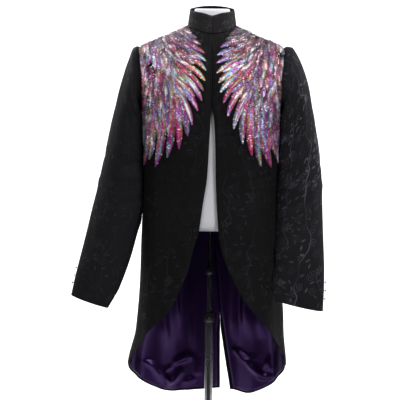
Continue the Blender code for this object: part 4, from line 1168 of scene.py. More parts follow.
    def cloth(self, name: str, start: tuple[float, float], end: tuple[float, float], columns: int,
              upper: bool) -> Object:
        """Makes one of the sleeve's two cloths.

        Args:
            name: its solid's name, without the side.
            start: the first seam's angles at the top and the cuff.
            end: the last seam's angles.
            columns: the grid's columns.
            upper: whether it is the upper cloth.

        Returns:
            The cloth.
        """
        piece = self.laid(start, end, columns)
        down = self.map_shift[1] - piece.flat[..., 1]
        places = np.stack([piece.flat[..., 0] - self.map_shift[0] * self.hand.side, down], axis=-1)
        held = smoothstep(down, 0.004, 0.03) * (1 - smoothstep(down, down.max() - 0.05, down.max()))
        creases = self.upper_creases[self.hand] if upper else self.under_creases
        push = push_of(creases, places) * held
        piece.points = piece.points + piece.normals * push[..., None]
        piece.roll_edges(0.0008, 0.006, "fl")
        # Each sleeve takes a lighter copy of the jacquard as painted light; the wearer's left one also has a
        # painted highlight on its figure
        own = self.finishes.painted_light_sleeve_jacquard if self.hand is Hand.RIGHT else self.finishes.painted_highlight_sleeve_jacquard
        obj = sew(f"{name}_cloth_{self.hand.value}", piece, SLEEVE_CLOTH,
                  [own, self.finishes.satin, own, self.finishes.facing],
                  down > down.max() - self.cuff_facing)
        nodes = [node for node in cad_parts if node.startswith(f"{name}_{self.hand.value}")]
        return dress(obj, "black_jacquard", *nodes)

    def button(self, number: int) -> Object:
        """Makes one domed shank button on the outer edge above the cuff.

        Args:
            number: 1 for the lowest.

        Returns:
            The button.
        """
        place, angle = self.last - 0.62 - (number - 1) * 0.40, math.radians(2)
        spot = Vector(self.points(np.array([place]), np.array([angle]))[0])
        out = Vector(self.normals(np.array([place]), np.array([angle]))[0])
        profile = (
            (0.0, 0.0), (0.0011, 0.0), (0.0011, 0.0014), (0.0040, 0.0017), (0.0052, 0.0022),
            (0.0055, 0.0028), (0.0051, 0.0034), (0.0045, 0.0034), (0.0040, 0.0040), (0.0026, 0.0047),
            (0.0010, 0.0049), (0.0, 0.0049),
        )
        bm = turned_form(profile, 24)
        face = out.to_track_quat("Z", "Y").to_matrix().to_4x4()
        bmesh.ops.transform(bm, matrix=Matrix.Translation(spot + out * GAP) @ face, verts=bm.verts)
        obj = mesh_from(f"shank_button_{self.hand.value}_{number}", bm)
        obj.data.materials.append(self.finishes.silver)
        obj.data.shade_smooth()
        return dress(obj, "silver_metal", f"cuff_button_{self.hand.value}_{number}")

    def build(self) -> None:
        """Makes the sleeve's two cloths and its buttons."""
        back_top, back_cuff = self.back_seam
        self.cloth("under_sleeve", self.front_seam, self.back_seam, 28, upper=False)
        self.cloth("upper_sleeve", (back_top - 360, back_cuff - 360), self.front_seam, 48, upper=True)
        for number in (1, 2, 3):
            self.button(number)


@dataclass
class StandCollar:
    """The stand collar, on the neckline from one front edge round to the other."""

    finishes: Wardrobe
    rise: float = 0.043
    # How much higher the rim stands in front, by distance from the centre: its corners meet in a V
    rim: tuple[tuple[float, float], ...] = (
        (0.0, 0.0040), (0.008, 0.0056), (0.018, 0.0076), (0.030, 0.0080), (0.044, 0.0045), (0.058, 0.0))
    lean: float = 0.006
    steps: int = 12
    columns: int = 30
    creases: tuple[Crease, ...] = laid_creases(
        (-0.046, 0.03, -0.038, 0.01, 0.0032, -0.0014), (-0.036, 0.036, -0.03, 0.014, 0.003, 0.0011),
        (0.04, 0.032, 0.046, 0.012, 0.0034, -0.0012), (0.12, 0.034, 0.128, 0.01, 0.004, -0.0012),
        (-0.125, 0.03, -0.118, 0.008, 0.004, 0.0012),
    )

    def laid(self) -> ClothPiece:
        """Lays out the collar on the neckline, from one front edge round the back to the other."""
        path = []
        for side, back in ((-1, False), (-1, True), (1, True), (1, False)):
            quarter = CoatQuarter(side, back)
            end = quarter.turn_at(np.array([NECKLINE]), np.array([HALF_GAP]))[0]
            turns = np.linspace(0, end, self.columns + 1)
            turns = turns[::-1] if (side < 0) != back else turns
            spots = quarter.points(np.full_like(turns, NECKLINE), turns)
            path.append(spots if not path else spots[1:])
        path = np.concatenate(path)
        share = np.linspace(0, 1, self.steps + 1)[:, None]
        out = unit(path * (1, 1.1, 0))
        front = (np.abs(path[:, 0]) < 0.001) & (path[:, 1] < 0)
        out[front] = (0, -1, 0)
        points = path[None] - out[None] * (self.lean * share)[..., None]
        points[..., 0] = np.where(front[None], path[None, :, 0], points[..., 0])
        reach = np.abs(path[:, 0])
        peak = np.interp(reach, *zip(*self.rim)) * (path[:, 1] < 0)
        points[..., 2] += GAP + (self.rise + peak[None]) * share
        run = np.concatenate([[0.0], np.cumsum(np.linalg.norm(np.diff(path, axis=0), axis=-1))])
        run = run - run[-1] / 2
        run = np.where(run < 0, run + run[-1], run - run[-1])
        flat = np.stack(np.broadcast_arrays(run[None, :], self.rise * share), axis=-1)
        return ClothPiece(points, np.broadcast_to(out[None], points.shape).copy(), flat)

    def build(self) -> None:
        """Makes the collar."""
        piece = self.laid()
        piece.crumple(self.creases, piece.flat)
        piece.roll_edges(0.0006, 0.004, "tb")
        piece.flat = piece.flat + np.array((0.7, 0.3))
        materials = [self.finishes.collar_jacquard, self.finishes.facing]
        collar = sew("stand_collar_cloth", piece, COLLAR_CLOTH, materials)
        dress(collar, "black_jacquard", "collar_stand")


@dataclass(frozen=True)
class Tier:
    """One tier of a wing's covert feathers: how far back it lies, as a share of the long feathers' length,
    and its feathers' pitch, length and width in metres.
    """

    back: float
    pitch: float
    length: float
    width: float


@dataclass(frozen=True)
class Sequin:
    """One sequin's centre, its outward direction, the way its string runs, and its colour."""

    centre: Vector
    normal: Vector
    way: Vector
    colour: tuple[float, float, float]


@dataclass(frozen=True)
class Glitter:
    """How foils, glare and size vary. Colours are places round the palette."""

    size: tuple[float, float] = (0.92, 1.08)
    turn: tuple[float, float] = (-4.0, 4.0)
    # Most feathers run from rose through purple to blue
    rose_share: float = 0.68
    rose: tuple[float, float] = (-2.0, 4.6)
    other: tuple[float, float] = (4.6, 10.0)
    drift: tuple[float, float] = (-3.0, 3.0)
    spread: tuple[float, float] = (0.5, 1.6)
    string_gauss: float = 1.1
    walk_gauss: float = 0.65
    sequin_gauss: float = 0.9
    # Glare and sparkle are painted highlights: foils mixed towards silver white and brightened along a
    # stretch of a feather's ridge and on scattered sequins
    glare: tuple[float, float] = (-0.9, 1.2)
    glare_at: tuple[float, float] = (0.10, 0.70)
    glare_long: tuple[float, float] = (0.10, 0.28)
    glare_share: tuple[float, float] = (0.45, 1.25)
    glare_bright: float = 0.7
    sparkle: tuple[float, float] = (0.04, 0.75)
    tone: tuple[float, float] = (0.55, 1.30)
    sequin_tone: tuple[float, float] = (0.55, 1.35)
    # Painted light across each feather: base and ridge brightness, and where the painted highlight's ridge
    # runs across a feather and how broad it is; the darker sides are painted shade between feathers
    ridge: tuple[float, float, float, float] = (0.34, 1.15, 0.12, 0.56)
    # Towards the shoulder's top the foils fade: where it starts, over what rise, how far and how dark
    fade: tuple[float, float, float, float] = (1.350, 0.09, 0.8, 0.55)
    shoulder_tone: tuple[float, float] = (0.35, 0.75)
    tilt: tuple[float, float, float] = (-0.10, 0.07, 0.07)


@dataclass
class SequinWing:
    """One wing: feathers of overlapping sequins in tiers, sewn to a backing on the front."""

    hand: Hand
    front: Object
    finishes: Wardrobe
    under: Tier = Tier(0.30, 0.016, 0.100, 0.0220)
    tiers: tuple[Tier, ...] = (
        Tier(0.58, 0.02, 0.082, 0.021), Tier(0.82, 0.0175, 0.066, 0.02), Tier(1.03, 0.016, 0.055, 0.019),
        Tier(1.22, 0.015, 0.047, 0.018), Tier(1.39, 0.0145, 0.042, 0.0175), Tier(1.55, 0.014, 0.038, 0.017),
        Tier(1.7, 0.0135, 0.035, 0.0165), Tier(1.85, 0.013, 0.032, 0.016), Tier(2, 0.013, 0.03, 0.0155),
        Tier(2.15, 0.013, 0.028, 0.015), Tier(2.3, 0.013, 0.026, 0.015), Tier(2.45, 0.013, 0.025, 0.0145),
    )
    string_pitch: float = 0.0031
    sequin_pitch: float = 0.0026
    sequin_radius: float = 0.0019
    taper: tuple[float, float] = (0.42, 0.30)
    # The wearer's right wing's foils are painted brighter, painted light where it faces the lamps more
    # squarely
    painted_light_gain: dict[Hand, float] = field(default_factory=lambda: {Hand.RIGHT: 1.25, Hand.LEFT: 1.0})
    base_lift: float = 0.0022
    clear: float = 0.0007
    tier_lift: float = 0.0003
    arch: float = 0.0012
    camber: float = 0.42
    covert_bend: float = 8.0
    covert_lean: float = 11.0
    # How far a covert's tip strays, in X and Z
    covert_stray: tuple[float, float] = (0.003, 0.010)
    glitter: Glitter = Glitter()
    seed: int = 7
    palette: tuple[str, ...] = (
        "#ae2a6e", "#93358a", "#7442a4", "#8478bc", "#90a2c6", "#74a6ac", "#94a07c", "#b0a068",
        "#b87c4e", "#b04e4c", "#981f42", "#b23c78",
    )
    # The colour of the painted highlights, the glare and the sparkle
    silver: str = "#f2eff4"
    dull: str = "#6e5762"
    shoulder_pitch: float = 0.0030
    outer_edge: tuple[tuple[float, float], ...] = (
        (1.085, 0.1770), (1.150, 0.1775), (1.240, 0.1780), (1.310, 0.1800), (1.350, 0.1820),
        (1.380, 0.1840), (1.396, 0.1855), (1.440, 0.1700), (1.470, 0.0850),
    )

    def __post_init__(self) -> None:
        """Reads the surface under the wing and mixes the foils."""
        self.table = RIGHT_FEATHERS if self.hand is Hand.RIGHT else LEFT_FEATHERS
        self.dice = random.Random(self.seed + (self.hand is Hand.LEFT))
        self.foils = np.array([linear(code)[:3] for code in self.palette])
        self.white, self.faded = np.array(linear(self.silver)[:3]), np.array(linear(self.dull)[:3])
        backing = refinish(f"wing_{self.hand.value}", self.finishes.net)
        self.tree, self.stiff = (
            BVHTree.FromPolygons([v.co.copy() for v in mesh.vertices], [p.vertices[:] for p in mesh.polygons])
            for mesh in (self.front.data, backing.data))

    def foil(self, place: float) -> np.ndarray:
        """The foil's colour at this place round the palette."""
        whole = math.floor(place)
        low, high = self.foils[whole % len(self.foils)], self.foils[(whole + 1) % len(self.foils)]
        return low + (high - low) * (place - whole)

    def inside(self, x: float, z: float) -> bool:
        """Whether a place is within the wing's plain outer edge."""
        heights = [height for height, _ in self.outer_edge]
        return 0.004 < x < np.interp(z, heights, [reach for _, reach in self.outer_edge])

    def cast(self, start: Vector, way: Vector) -> tuple[Vector, Vector] | None:
        """Finds the cloth along a ray, or the backing's face where a crease sinks the cloth under it.

        Args:
            start: where the ray starts, outside the coat.
            way: its direction.

        Returns:
            The point and the cloth's outward direction, or nothing where the ray meets no cloth.
        """
        hit, normal, _, _ = self.tree.ray_cast(start, way, 1.0)
        if hit is None:
            return None
        normal = normal if normal.dot(way) < 0 else -normal
        held = self.stiff.ray_cast(start, way, 1.0)[0]
        if held is not None:
            hit = hit + normal * max((held - hit).dot(normal) + self.clear - self.base_lift, 0.0)
        return hit, normal

    def laid_on(self, x: float, z: float) -> tuple[Vector, Vector] | None:
        """Finds the cloth behind a place on the wing's map.

        Args:
            x: distance from the centre line.
            z: height.

        Returns:
            The point and its outward direction, or nothing where the cloth turns away.
        """
        found = self.cast(Vector((self.hand.side * x, -0.3, z)), Vector((0, 1, 0)))
        return found if found and found[1].y < -0.02 else None

    def tier_light_and_shade(self, down: float) -> float:
        """How bright a covert is this far from its tip: painted light near the tip and painted shade where
        the next tier overlaps it.
        """
        return 1.12 - 0.75 * float(smoothstep(np.float64(down), 0.008, 0.026))

    def row(self, step: float | np.ndarray) -> list:
        """Tip, lean at the tip and the root, and length of a long feather, between the table's rows."""
        return [np.interp(step, np.arange(len(self.table)), self.table[:, k]) for k in range(5)]

    def coverts(self, tier: Tier, level: int) -> list[Sequin]:
        """Strings one tier of short feathers, evenly spaced along its line of tips.

        Args:
            tier: the tier.
            level: how many tiers lie under it.

        Returns:
            The sequins that lie on the cloth.
        """
        steps = np.linspace(-1.0, len(self.table) - 1, 400)
        x, z, _, lean, full = self.row(steps)
        way = np.radians(lean + 0.30 * (270 - lean) * min(tier.back, 1.0))
        x = x - np.cos(way) * full * tier.back + 0.012 * np.minimum(steps, 0)
        z = z - np.sin(way) * full * tier.back
        run = np.concatenate([[0.0], np.cumsum(np.hypot(np.diff(x), np.diff(z)))])
        made = []
        for mark in np.arange(tier.pitch * (0.2 + 0.5 * (level % 2)), run[-1], tier.pitch):
            at = np.interp(mark + self.dice.uniform(-0.2, 0.2) * tier.pitch, run, steps)
            tip = np.array((np.interp(at, steps, x), np.interp(at, steps, z)))
            tip += [self.dice.uniform(-stray, stray) for stray in self.covert_stray]
            lean_here = float(np.interp(at, steps, lean))
            lean_here += (268 - lean_here) * 0.85 * float(smoothstep(tip[0], 0.05, 0.15))
            share = float(np.interp(at, steps, full)) / self.table[0, 4]
            size = 0.70 + 0.30 * share
            lean_here += self.dice.uniform(-self.covert_lean, self.covert_lean)
            leans = lean_here + self.covert_bend, lean_here - self.covert_bend
            made += self.feather(tip, leans, tier.length * size, tier.width * size, level)
        return made

    def feather(self, tip: np.ndarray, leans: tuple[float, float], length: float, width: float,
                level: int) -> list[Sequin]:
        """Strings the sequins of one feather, from its tip.

        Args:
            tip: where its tip lies, as distance from the centre line and height.
            leans: which way it points at the tip and at the root, in degrees.
            length: its length.
            width: its greatest width.
            level: how many tiers lie under it.

        Returns:
            The sequins that lie on the cloth.
        """
        dice, look, painted_light_gain = self.dice, self.glitter, self.painted_light_gain[self.hand]
        length, width = length * dice.uniform(*look.size), width * dice.uniform(*look.size)
        turn, taper = dice.uniform(*look.turn), self.taper[level > 1]
        strings = max(round(width / self.string_pitch), 3)
        base = dice.uniform(*(look.rose if dice.random() < look.rose_share else look.other))
        drift, spread = dice.uniform(*look.drift), dice.uniform(*look.spread)
        glare_at, glare_long = dice.uniform(*look.glare_at), dice.uniform(*look.glare_long)
        # The wing's painted light raises its glare and its tone
        glare = max(dice.uniform(*look.glare), 0.0) * painted_light_gain ** 2
        tone = dice.uniform(*look.tone) * painted_light_gain
        offsets = [dice.gauss(0, look.string_gauss) for _ in range(strings)]
        low, high, middle, breadth = look.ridge
        fade_from, fade_rise, fade_share, fade_dark = look.fade
        made = []
        spot = np.array(tip)
        for k in range(int(length / self.sequin_pitch)):
            s = k * self.sequin_pitch / length
            lean = math.radians(leans[0] + (leans[1] - leans[0]) * s + turn)
            ahead = np.array((math.cos(lean), math.sin(lean)))
            spot = spot - ahead * self.sequin_pitch
            across = np.array((-ahead[1], ahead[0]))
            half = width / 2 * math.sin(min(s + 0.02, taper) / taper * math.pi / 2) ** 0.85
            for string in range(strings):
                offsets[string] += dice.gauss(0, look.walk_gauss)
                side = (2 * string + 1) / strings - 1
                place = spot + across * (side * half)
                if (half < width / 5 and string % 2) or not self.inside(*place):
                    continue
                found = self.laid_on(*place)
                if found is None:
                    continue
                hit, normal = found
                shade = base + drift * s + spread * side + offsets[string] + dice.gauss(0, look.sequin_gauss)
                colour = self.foil(shade)
                # Painted highlight along the feather's ridge, with painted shade towards its sides
                ridge = math.exp(-((side - middle) / breadth) ** 2)
                # Painted shade under the next tier, painted light at the covert's tip
                under = self.tier_light_and_shade(s * length) if level > 1 else 1.0
                # Painted highlights: glare along the ridge and scattered sparkle mix the foil towards silver
                # white and brighten it
                shine = glare * math.exp(-((s - glare_at) / glare_long) ** 2) * ridge ** 2
                sparkle = look.sparkle[1] if dice.random() < look.sparkle[0] else 0.0
                white = min(shine * dice.uniform(*look.glare_share) + sparkle, 1.0)
                above = (place[1] - fade_from - 0.22 * abs(place[0] - 0.10)) / fade_rise
                fade = min(max(above, 0.0), 1.0) * fade_share
                colour = colour + (self.white - colour) * white
                colour = colour + (self.faded - colour) * fade * (1 - white)
                bright = tone * under * (low + high * ridge) * dice.uniform(*look.sequin_tone)
                bright = (bright + look.glare_bright * white) * (1 - fade_dark * fade)
                run = Vector((self.hand.side * ahead[0], 0, ahead[1]))
                over = Vector((self.hand.side * across[0], 0, across[1]))
                raised = self.base_lift + self.tier_lift * level
                raised += self.arch * (1 - side * side) * (0.4 + 0.6 * s)
                leaning = (normal + over * self.camber * side).normalized()
                foil = tuple(np.clip(colour * bright, 0, 1))
                made.append(Sequin(hit + normal * raised, leaning, run, foil))
        return made

    def shoulder(self) -> list[Sequin]:
        """Fills the top of the shoulder, up to its seam, with close rows of dull sequins.

        Returns:
            The sequins.
        """
        made = []
        rows = np.arange(-0.095, -0.002, self.shoulder_pitch)
        for x in np.arange(0.060, 0.187, self.shoulder_pitch):
            for y in rows:
                place = Vector((self.hand.side * (x + self.dice.uniform(-0.0006, 0.0006)), y, 2.0))
                found = self.cast(place, Vector((0, 0, -1)))
                if found is None or found[0].z < 1.385:
                    continue
                hit, normal = found
                colour = self.foil(9.5 + 25 * x + 1.6 * self.dice.gauss(0, 1))
                colour = colour + (self.faded - colour) * 0.75
                bright = self.dice.uniform(*self.glitter.shoulder_tone)
                made.append(Sequin(hit + normal * (self.base_lift - 0.0006), normal, Vector((0, -1, -0.3)),
                                   tuple(np.clip(colour * bright, 0, 1))))
        return made

    def strung(self) -> list[Sequin]:
        """Every sequin of the wing, tier over tier."""
        made = self.shoulder() + self.coverts(self.under, 0)
        for x, z, tip_lean, root_lean, length in self.table:
            made += self.feather((x, z), (tip_lean, root_lean), length, 0.0085 + 0.082 * length, 1)
        for level, tier in enumerate(self.tiers, 2):
            made += self.coverts(tier, level)
        return made

    def build(self) -> Object:
        """Makes the wing's sequins as one mesh.

        Returns:
            The sequins.
        """
        strung = self.strung()
        count = len(strung)
        bm = bmesh.new()
        seat = bm.verts.layers.int.new("seat")
        bmesh.ops.create_circle(bm, cap_ends=True, cap_tris=True, segments=6, radius=self.sequin_radius)
        for number, vertex in enumerate(bm.verts):
            vertex[seat] = number
            if vertex.co.length < self.sequin_radius / 2:
                vertex.co.z = -0.00035
        corners = len(bm.verts)
        local = np.zeros((corners, 3))
        for vertex in bm.verts:
            local[vertex[seat]] = vertex.co
        while len(bm.verts) < count * corners:
            had = len(bm.verts)
            spare = count * corners - had
            source = [f for f in bm.faces if f.verts[0][seat] < spare]
            made = bmesh.ops.duplicate(bm, geom=source)
            for item in made["geom"]:
                if isinstance(item, bmesh.types.BMVert):
                    item[seat] += had
        obj = mesh_from(f"sequins_{self.hand.value}", bm)
        seats = np.empty(len(obj.data.vertices), np.int32)
        obj.data.attributes["seat"].data.foreach_get("value", seats)
        obj.data.attributes.remove(obj.data.attributes["seat"])
        discs, corner = np.divmod(seats, corners)
        centres = np.array([item.centre for item in strung])
        normals = np.array([item.normal for item in strung])
        ways = np.array([item.way for item in strung])
        noise = np.random.default_rng(self.seed)
        droop, along, about = self.glitter.tilt
        normals = normals + ways * noise.normal(droop, along, (count, 1)) + noise.normal(0, about, (count, 3))
        normals = unit(normals)
        ways = unit(ways - normals * (ways * normals).sum(-1, keepdims=True))
        sides = np.cross(normals, ways)
        spots = (centres[discs] + sides[discs] * local[corner, :1] + ways[discs] * local[corner, 1:2]
                 + normals[discs] * local[corner, 2:])
        obj.data.vertices.foreach_set("co", spots.ravel())
        colours = np.ones((count, 4))
        colours[:, :3] = [item.colour for item in strung]
        layer = obj.data.attributes.new("foil", "FLOAT_COLOR", "POINT")
        layer.data.foreach_set("color", colours[discs].ravel())
        obj.data.update()
        obj.data.materials.append(self.finishes.foil)
        LOG.info("%s: %d sequins", obj.name, count)
        return dress(obj, "sequins")


def turned_form(profile: tuple[tuple[float, float], ...], sides: int) -> bmesh.types.BMesh:
    """A closed form of revolution about Z.

    Args:
        profile: (radius, height) points, from the axis or closed on themselves.
        sides: how many steps round.

    Returns:
        The bmesh.
    """
    bm = bmesh.new()
    verts = [bm.verts.new((radius, 0, height)) for radius, height in profile]
    pairs = list(zip(verts, verts[1:]))
    if profile[0][0] > 0 and profile[-1][0] > 0:
        pairs.append((verts[-1], verts[0]))
    edges = [bm.edges.new(pair) for pair in pairs]
    bmesh.ops.spin(bm, geom=verts + edges, cent=(0, 0, 0), axis=(0, 0, 1), angle=math.tau, steps=sides,
                   use_merge=True, use_duplicate=False)
    bmesh.ops.remove_doubles(bm, verts=bm.verts, dist=1e-6)
    bmesh.ops.recalc_face_normals(bm, faces=bm.faces)
    if bm.calc_volume(signed=True) < 0:
        bmesh.ops.reverse_faces(bm, faces=bm.faces)
    return bm


@dataclass
class DressForm:
    """The limbless form, its flange and its telescopic stand."""

    finishes: Wardrobe
    sides: int = 64
    form_bottom: float = 0.925
    flange_radius: float = 0.045
    flange_thickness: float = 0.008
    rod: tuple[float, float, float] = (0.0050, 0.530, 0.9164)
    mid: tuple[float, float, float] = (0.0075, 0.400, 0.790)
    outer: tuple[float, float, float] = (0.0115, 0.0083, 0.655)
    clearance: float = 0.0003
    clamp_wall: float = 0.0027
    clamp_length: float = 0.026
    upper_height: float = 0.797
    lower_height: float = 0.664
    knob_radius: float = 0.0075
    knob_stem: float = 0.005
    foot_radius: float = 0.165
    foot_thickness: float = 0.008

    def torso(self) -> None:
        """Makes the form's smooth padded body from its solid."""
        bm = bmesh.new()
        bm.from_mesh(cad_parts["dress_form"].data)
        bmesh.ops.remove_doubles(bm, verts=bm.verts, dist=1e-5)
        bmesh.ops.join_triangles(bm, faces=bm.faces, angle_face_threshold=math.radians(40),
                                 angle_shape_threshold=math.radians(60))
        creased = bm.edges.layers.float.new("crease_edge")
        for edge in bm.edges:
            if len(edge.link_faces) == 2 and edge.calc_face_angle(0.0) > math.radians(60):
                edge[creased] = 0.7
        obj = mesh_from("form_body", bm)
        obj.data.materials.append(self.finishes.jersey)
        obj.data.shade_smooth()
        smooth = obj.modifiers.new("Smooth", "SUBSURF")
        smooth.levels = smooth.render_levels = 2
        dress(obj, "white_jersey", "dress_form")

    def round_piece(self, name: str, profile: tuple, material: Material, slot: str, node: str,
                    body: str, place: tuple[float, float, float] = (0, 0, 0),
                    turn: Matrix | None = None) -> Object:
        """Makes one turned piece of the stand.

        Args:
            name: the piece's name.
            profile: its (radius, height) points.
            material: its finish.
            slot: the record's material slot.
            node: the solid that it stands for.
            body: the body that it rides on.
            place: where its origin goes.
            turn: how it is turned first, if at all.

        Returns:
            The piece.
        """
        bm = turned_form(profile, self.sides)
        matrix = Matrix.Translation(place) @ (turn or Matrix.Identity(4))
        bmesh.ops.transform(bm, matrix=matrix, verts=bm.verts)
        obj = mesh_from(name, bm)
        obj.data.materials.append(material)
        obj.data.shade_smooth()
        obj.data.set_sharp_from_angle(angle=math.radians(35))
        return dress(obj, slot, node, body=body)

    def tube_profile(self, radius: float, inner: float, bottom: float, top: float) -> tuple:
        """A tube's wall with small chamfers at its ends."""
        c = 0.0005
        return ((radius - c, bottom), (radius, bottom + c), (radius, top - c), (radius - c, top),
                (inner, top), (inner, bottom))

    def build(self) -> None:
        """Makes the form and the stand from the top down."""
        self.torso()
        chrome, plastic, paint = self.finishes.chrome, self.finishes.plastic, self.finishes.paint
        r, t = self.flange_radius, self.flange_thickness
        profile = ((0, 0), (r - 0.001, 0), (r, 0.001), (r, t - 0.001), (r - 0.001, t), (0, t))
        self.round_piece("flange_disc", profile, paint, "black_paint", "form_flange", "mannequin",
                         (0, 0, self.form_bottom - GAP - t))
        r, low, high = self.rod
        profile = ((0, low), (r - 0.001, low), (r, low + 0.001), (r, high), (0, high))
        self.round_piece("inner_rod", profile, chrome, "chromed_steel", "rod", "mannequin")
        r, low, high = self.outer
        self.round_piece("lower_tube", self.tube_profile(r, self.mid[0] + self.clearance, low, high),
                         chrome, "chromed_steel", "outer_tube", "stand")
        for level, height, tube, body, screw in (
            ("upper", self.upper_height, self.mid[0], "middle_tube", "upper_knob"),
            ("lower", self.lower_height, self.outer[0], "stand", "lower_knob"),
        ):
            inner, half, lip = tube + self.clearance, self.clamp_length / 2, 0.003
            out, bevel = inner + self.clamp_wall, 0.0012
            profile = (
                (inner, -half), (out - bevel, -half), (out - 0.0003, -half + 0.0005), (out, -half + bevel),
                (out, half - lip - bevel), (out - 0.0003, half - lip - 0.0005), (out - bevel, half - lip),
                (out - bevel, half - 0.0004), (out - bevel - 0.0004, half), (inner, half),
            )
            self.round_piece(f"{level}_clamp_collar", profile, plastic, "black_plastic", f"{level}_clamp",
                             body, (0, 0, height))
            r, stem = self.knob_radius, self.knob_stem
            arc = [(r * math.sin(math.radians(a)), stem + r - r * math.cos(math.radians(a)))
                   for a in range(25, 172, 7)]
            profile = ((0, 0), (0.0028, 0), (0.0028, stem + 0.0005), *arc, (0, stem + 2 * r))
            self.round_piece(f"{level}_ball_knob", profile, plastic, "black_plastic", f"{level}_knob",
                             screw, (0, -(out + GAP), height), Matrix.Rotation(math.pi / 2, 4, "X"))
        r, t, hub = self.foot_radius, self.foot_thickness, 0.026
        inner = self.outer[0] + GAP
        profile = (
            (0, 0), (r - 0.001, 0), (r, 0.001), (r, t * 0.6), (r - 0.002, t * 0.85), (r - 0.006, t),
            (hub + 0.008, t + 0.003), (hub + 0.003, t + 0.008), (hub, 0.028), (hub - 0.002, 0.030),
            (inner, 0.030), (inner, t), (0, t),
        )
        self.round_piece("foot_plate", profile, paint, "black_paint", "foot", "stand")
        # The perforated middle tube's solid already has its holes
        refinish("mid_tube", chrome)


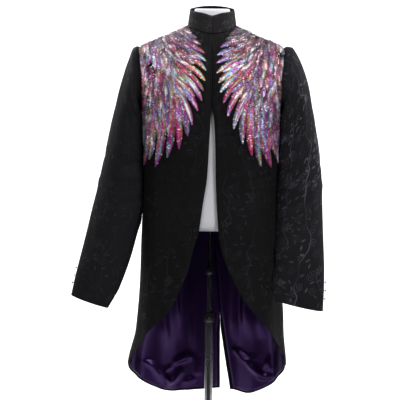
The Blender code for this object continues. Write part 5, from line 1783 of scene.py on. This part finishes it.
@dataclass
class Studio:
    """The plain pale paper roll, the soft lights, and the camera at the photograph's angle."""

    eye: tuple[float, float, float] = (0.0, -3.5, 1.6)
    pitch: float = -9.9
    roll: float = 0.6
    lens: float = 118.4
    shift: float = -0.02575
    backdrop: float = 2.6
    roll_top: float = 1.62
    roll_width: float = 2.6
    floor_front: float = -0.75
    paper_rise: tuple[tuple[float, float], ...] = ((-0.6, 0.0), (-0.25, 0.06), (-0.06, 0.25), (0.0, 0.6))
    # Name, place, target, side in metres and power in watts
    lamps: tuple[tuple, ...] = (
        ("key_box", (2.0, -2.4, 2.9), (0, 0, 1.0), 1.1, 80),
        ("fill_box", (-1.6, -2.8, 2.9), (0, 0, 0.9), 1.4, 34),
        ("top_box", (0, -0.6, 3.2), (0, 0, 1.2), 1.2, 22),
        ("back_box", (-1.8, 2.2, 3.0), (0, 0, 1.0), 1.2, 40),
        ("sweep_box_left", (-2.0, 0.9, 2.4), (-0.4, 2.6, 0.9), 1.6, 90),
        ("sweep_box_right", (2.0, 0.9, 2.4), (0.4, 2.6, 0.9), 1.6, 90),
    )
    # The room's strength at the wearer's right and left, and its share low in front
    room: tuple[float, float] = (0.02, 0.30)
    low_share: float = 0.1
    pale: float = 12.0

    def stage(self) -> None:
        """Makes the floor and the backdrop as one curved sheet."""
        finish = PlainFinish("studio_paper", "#f6f6f7", 0.9, grain_m=0.02, grain_shade=0.004,
                             grain_depth=0.0, specular=0.1).build()
        bm = bmesh.new()
        near = [bm.verts.new((end * self.roll_width / 2, self.floor_front, 0.0)) for end in (-1, 1)]
        edge = bm.edges.new(near)
        path = [(self.backdrop + back, rise) for back, rise in self.paper_rise + ((0.0, self.roll_top),)]
        for y, z in path:
            made = bmesh.ops.extrude_edge_only(bm, edges=[edge])
            verts = [item for item in made["geom"] if isinstance(item, bmesh.types.BMVert)]
            edge = next(item for item in made["geom"] if isinstance(item, bmesh.types.BMEdge))
            for vertex in verts:
                vertex.co.y, vertex.co.z = y, z
        obj = mesh_from("studio_sweep", bm)
        obj.data.materials.append(finish)
        obj.data.shade_smooth()

    def light(self, name: str, place: tuple[float, float, float], target: tuple[float, float, float],
              size: float, power: float) -> None:
        """Hangs one soft box.

        Args:
            name: the light's name.
            place: where it hangs.
            target: what it faces.
            size: its side in metres.
            power: its power in watts.
        """
        data = bpy.data.lights.new(name, "AREA")
        data.shape = "SQUARE"
        data.size = size
        data.energy = power
        lamp = bpy.data.objects.new(name, data)
        lamp.location = place
        lamp.rotation_mode = "QUATERNION"
        lamp.rotation_quaternion = (Vector(target) - Vector(place)).to_track_quat("-Z", "Y")
        bpy.context.scene.collection.objects.link(lamp)

    def camera(self) -> None:
        """Places the camera."""
        pitch, roll = math.radians(self.pitch), math.radians(self.roll)
        ahead = Vector((0, math.cos(pitch), math.sin(pitch)))
        level = Vector((1, 0, 0))
        up = level.cross(ahead)
        right = level * math.cos(roll) + up * math.sin(roll)
        above = up * math.cos(roll) - level * math.sin(roll)
        data = bpy.data.cameras.new("studio_camera")
        data.lens = self.lens
        data.sensor_width = 36.0
        data.shift_x = self.shift
        camera = bpy.data.objects.new("studio_camera", data)
        camera.rotation_mode = "QUATERNION"
        camera.rotation_quaternion = Matrix((right, above, -ahead)).transposed().to_quaternion()
        camera.location = self.eye
        bpy.context.scene.collection.objects.link(camera)
        bpy.context.scene.camera = camera

    def build(self) -> None:
        """Sets the stage, the lights and the camera."""
        self.stage()
        world = bpy.data.worlds.new("studio_world")
        world.use_nodes = True
        tree = world.node_tree
        way = add_node(tree, "ShaderNodeTexCoord", out="Generated")
        side = add_node(tree, "ShaderNodeSeparateXYZ", {0: way})
        # The room is darker on the wearer's right
        glow = add_node(tree, "ShaderNodeMapRange",
                        {"Value": side, "From Min": -1.0, "From Max": 1.0, "To Min": self.room[0],
                         "To Max": self.room[1]})
        # Low down in front it is dark too, which keeps the tails' lining dark
        above = add_node(tree, "ShaderNodeMapRange",
                         {"Value": side.node.outputs[2], "From Min": -0.25, "From Max": 0.10,
                          "To Min": self.low_share})
        aside = add_node(tree, "ShaderNodeMapRange", {"Value": side, "From Min": 0.35, "From Max": 0.60})
        above = calc(tree, "MAXIMUM", above, aside)
        glow = calc(tree, "MULTIPLY", glow, above)
        # Behind the paper roll it is pale
        behind = add_node(tree, "ShaderNodeMapRange",
                          {"Value": side.node.outputs[1], "From Min": 0.05, "From Max": 0.45,
                           "To Max": self.pale})
        glow = calc(tree, "MAXIMUM", glow, behind)
        tree.links.new(glow, tree.nodes["Background"].inputs["Strength"])
        bpy.context.scene.world = world
        bpy.context.scene.view_settings.view_transform = "Standard"
        for lamp in self.lamps:
            self.light(*lamp)
        self.camera()


def main() -> None:
    """Builds the coat, its form and stand, and the studio."""
    logging.basicConfig(level=logging.INFO, format="%(name)s: %(message)s")
    finishes = Wardrobe()
    fronts = CoatBody(finishes).build()
    for hand in Hand:
        CoatSleeve(hand, finishes).build()
    StandCollar(finishes).build()
    for hand in Hand:
        SequinWing(hand, fronts[hand], finishes).build()
    DressForm(finishes).build()
    Studio().build()


if __name__ == "__main__":
    main()
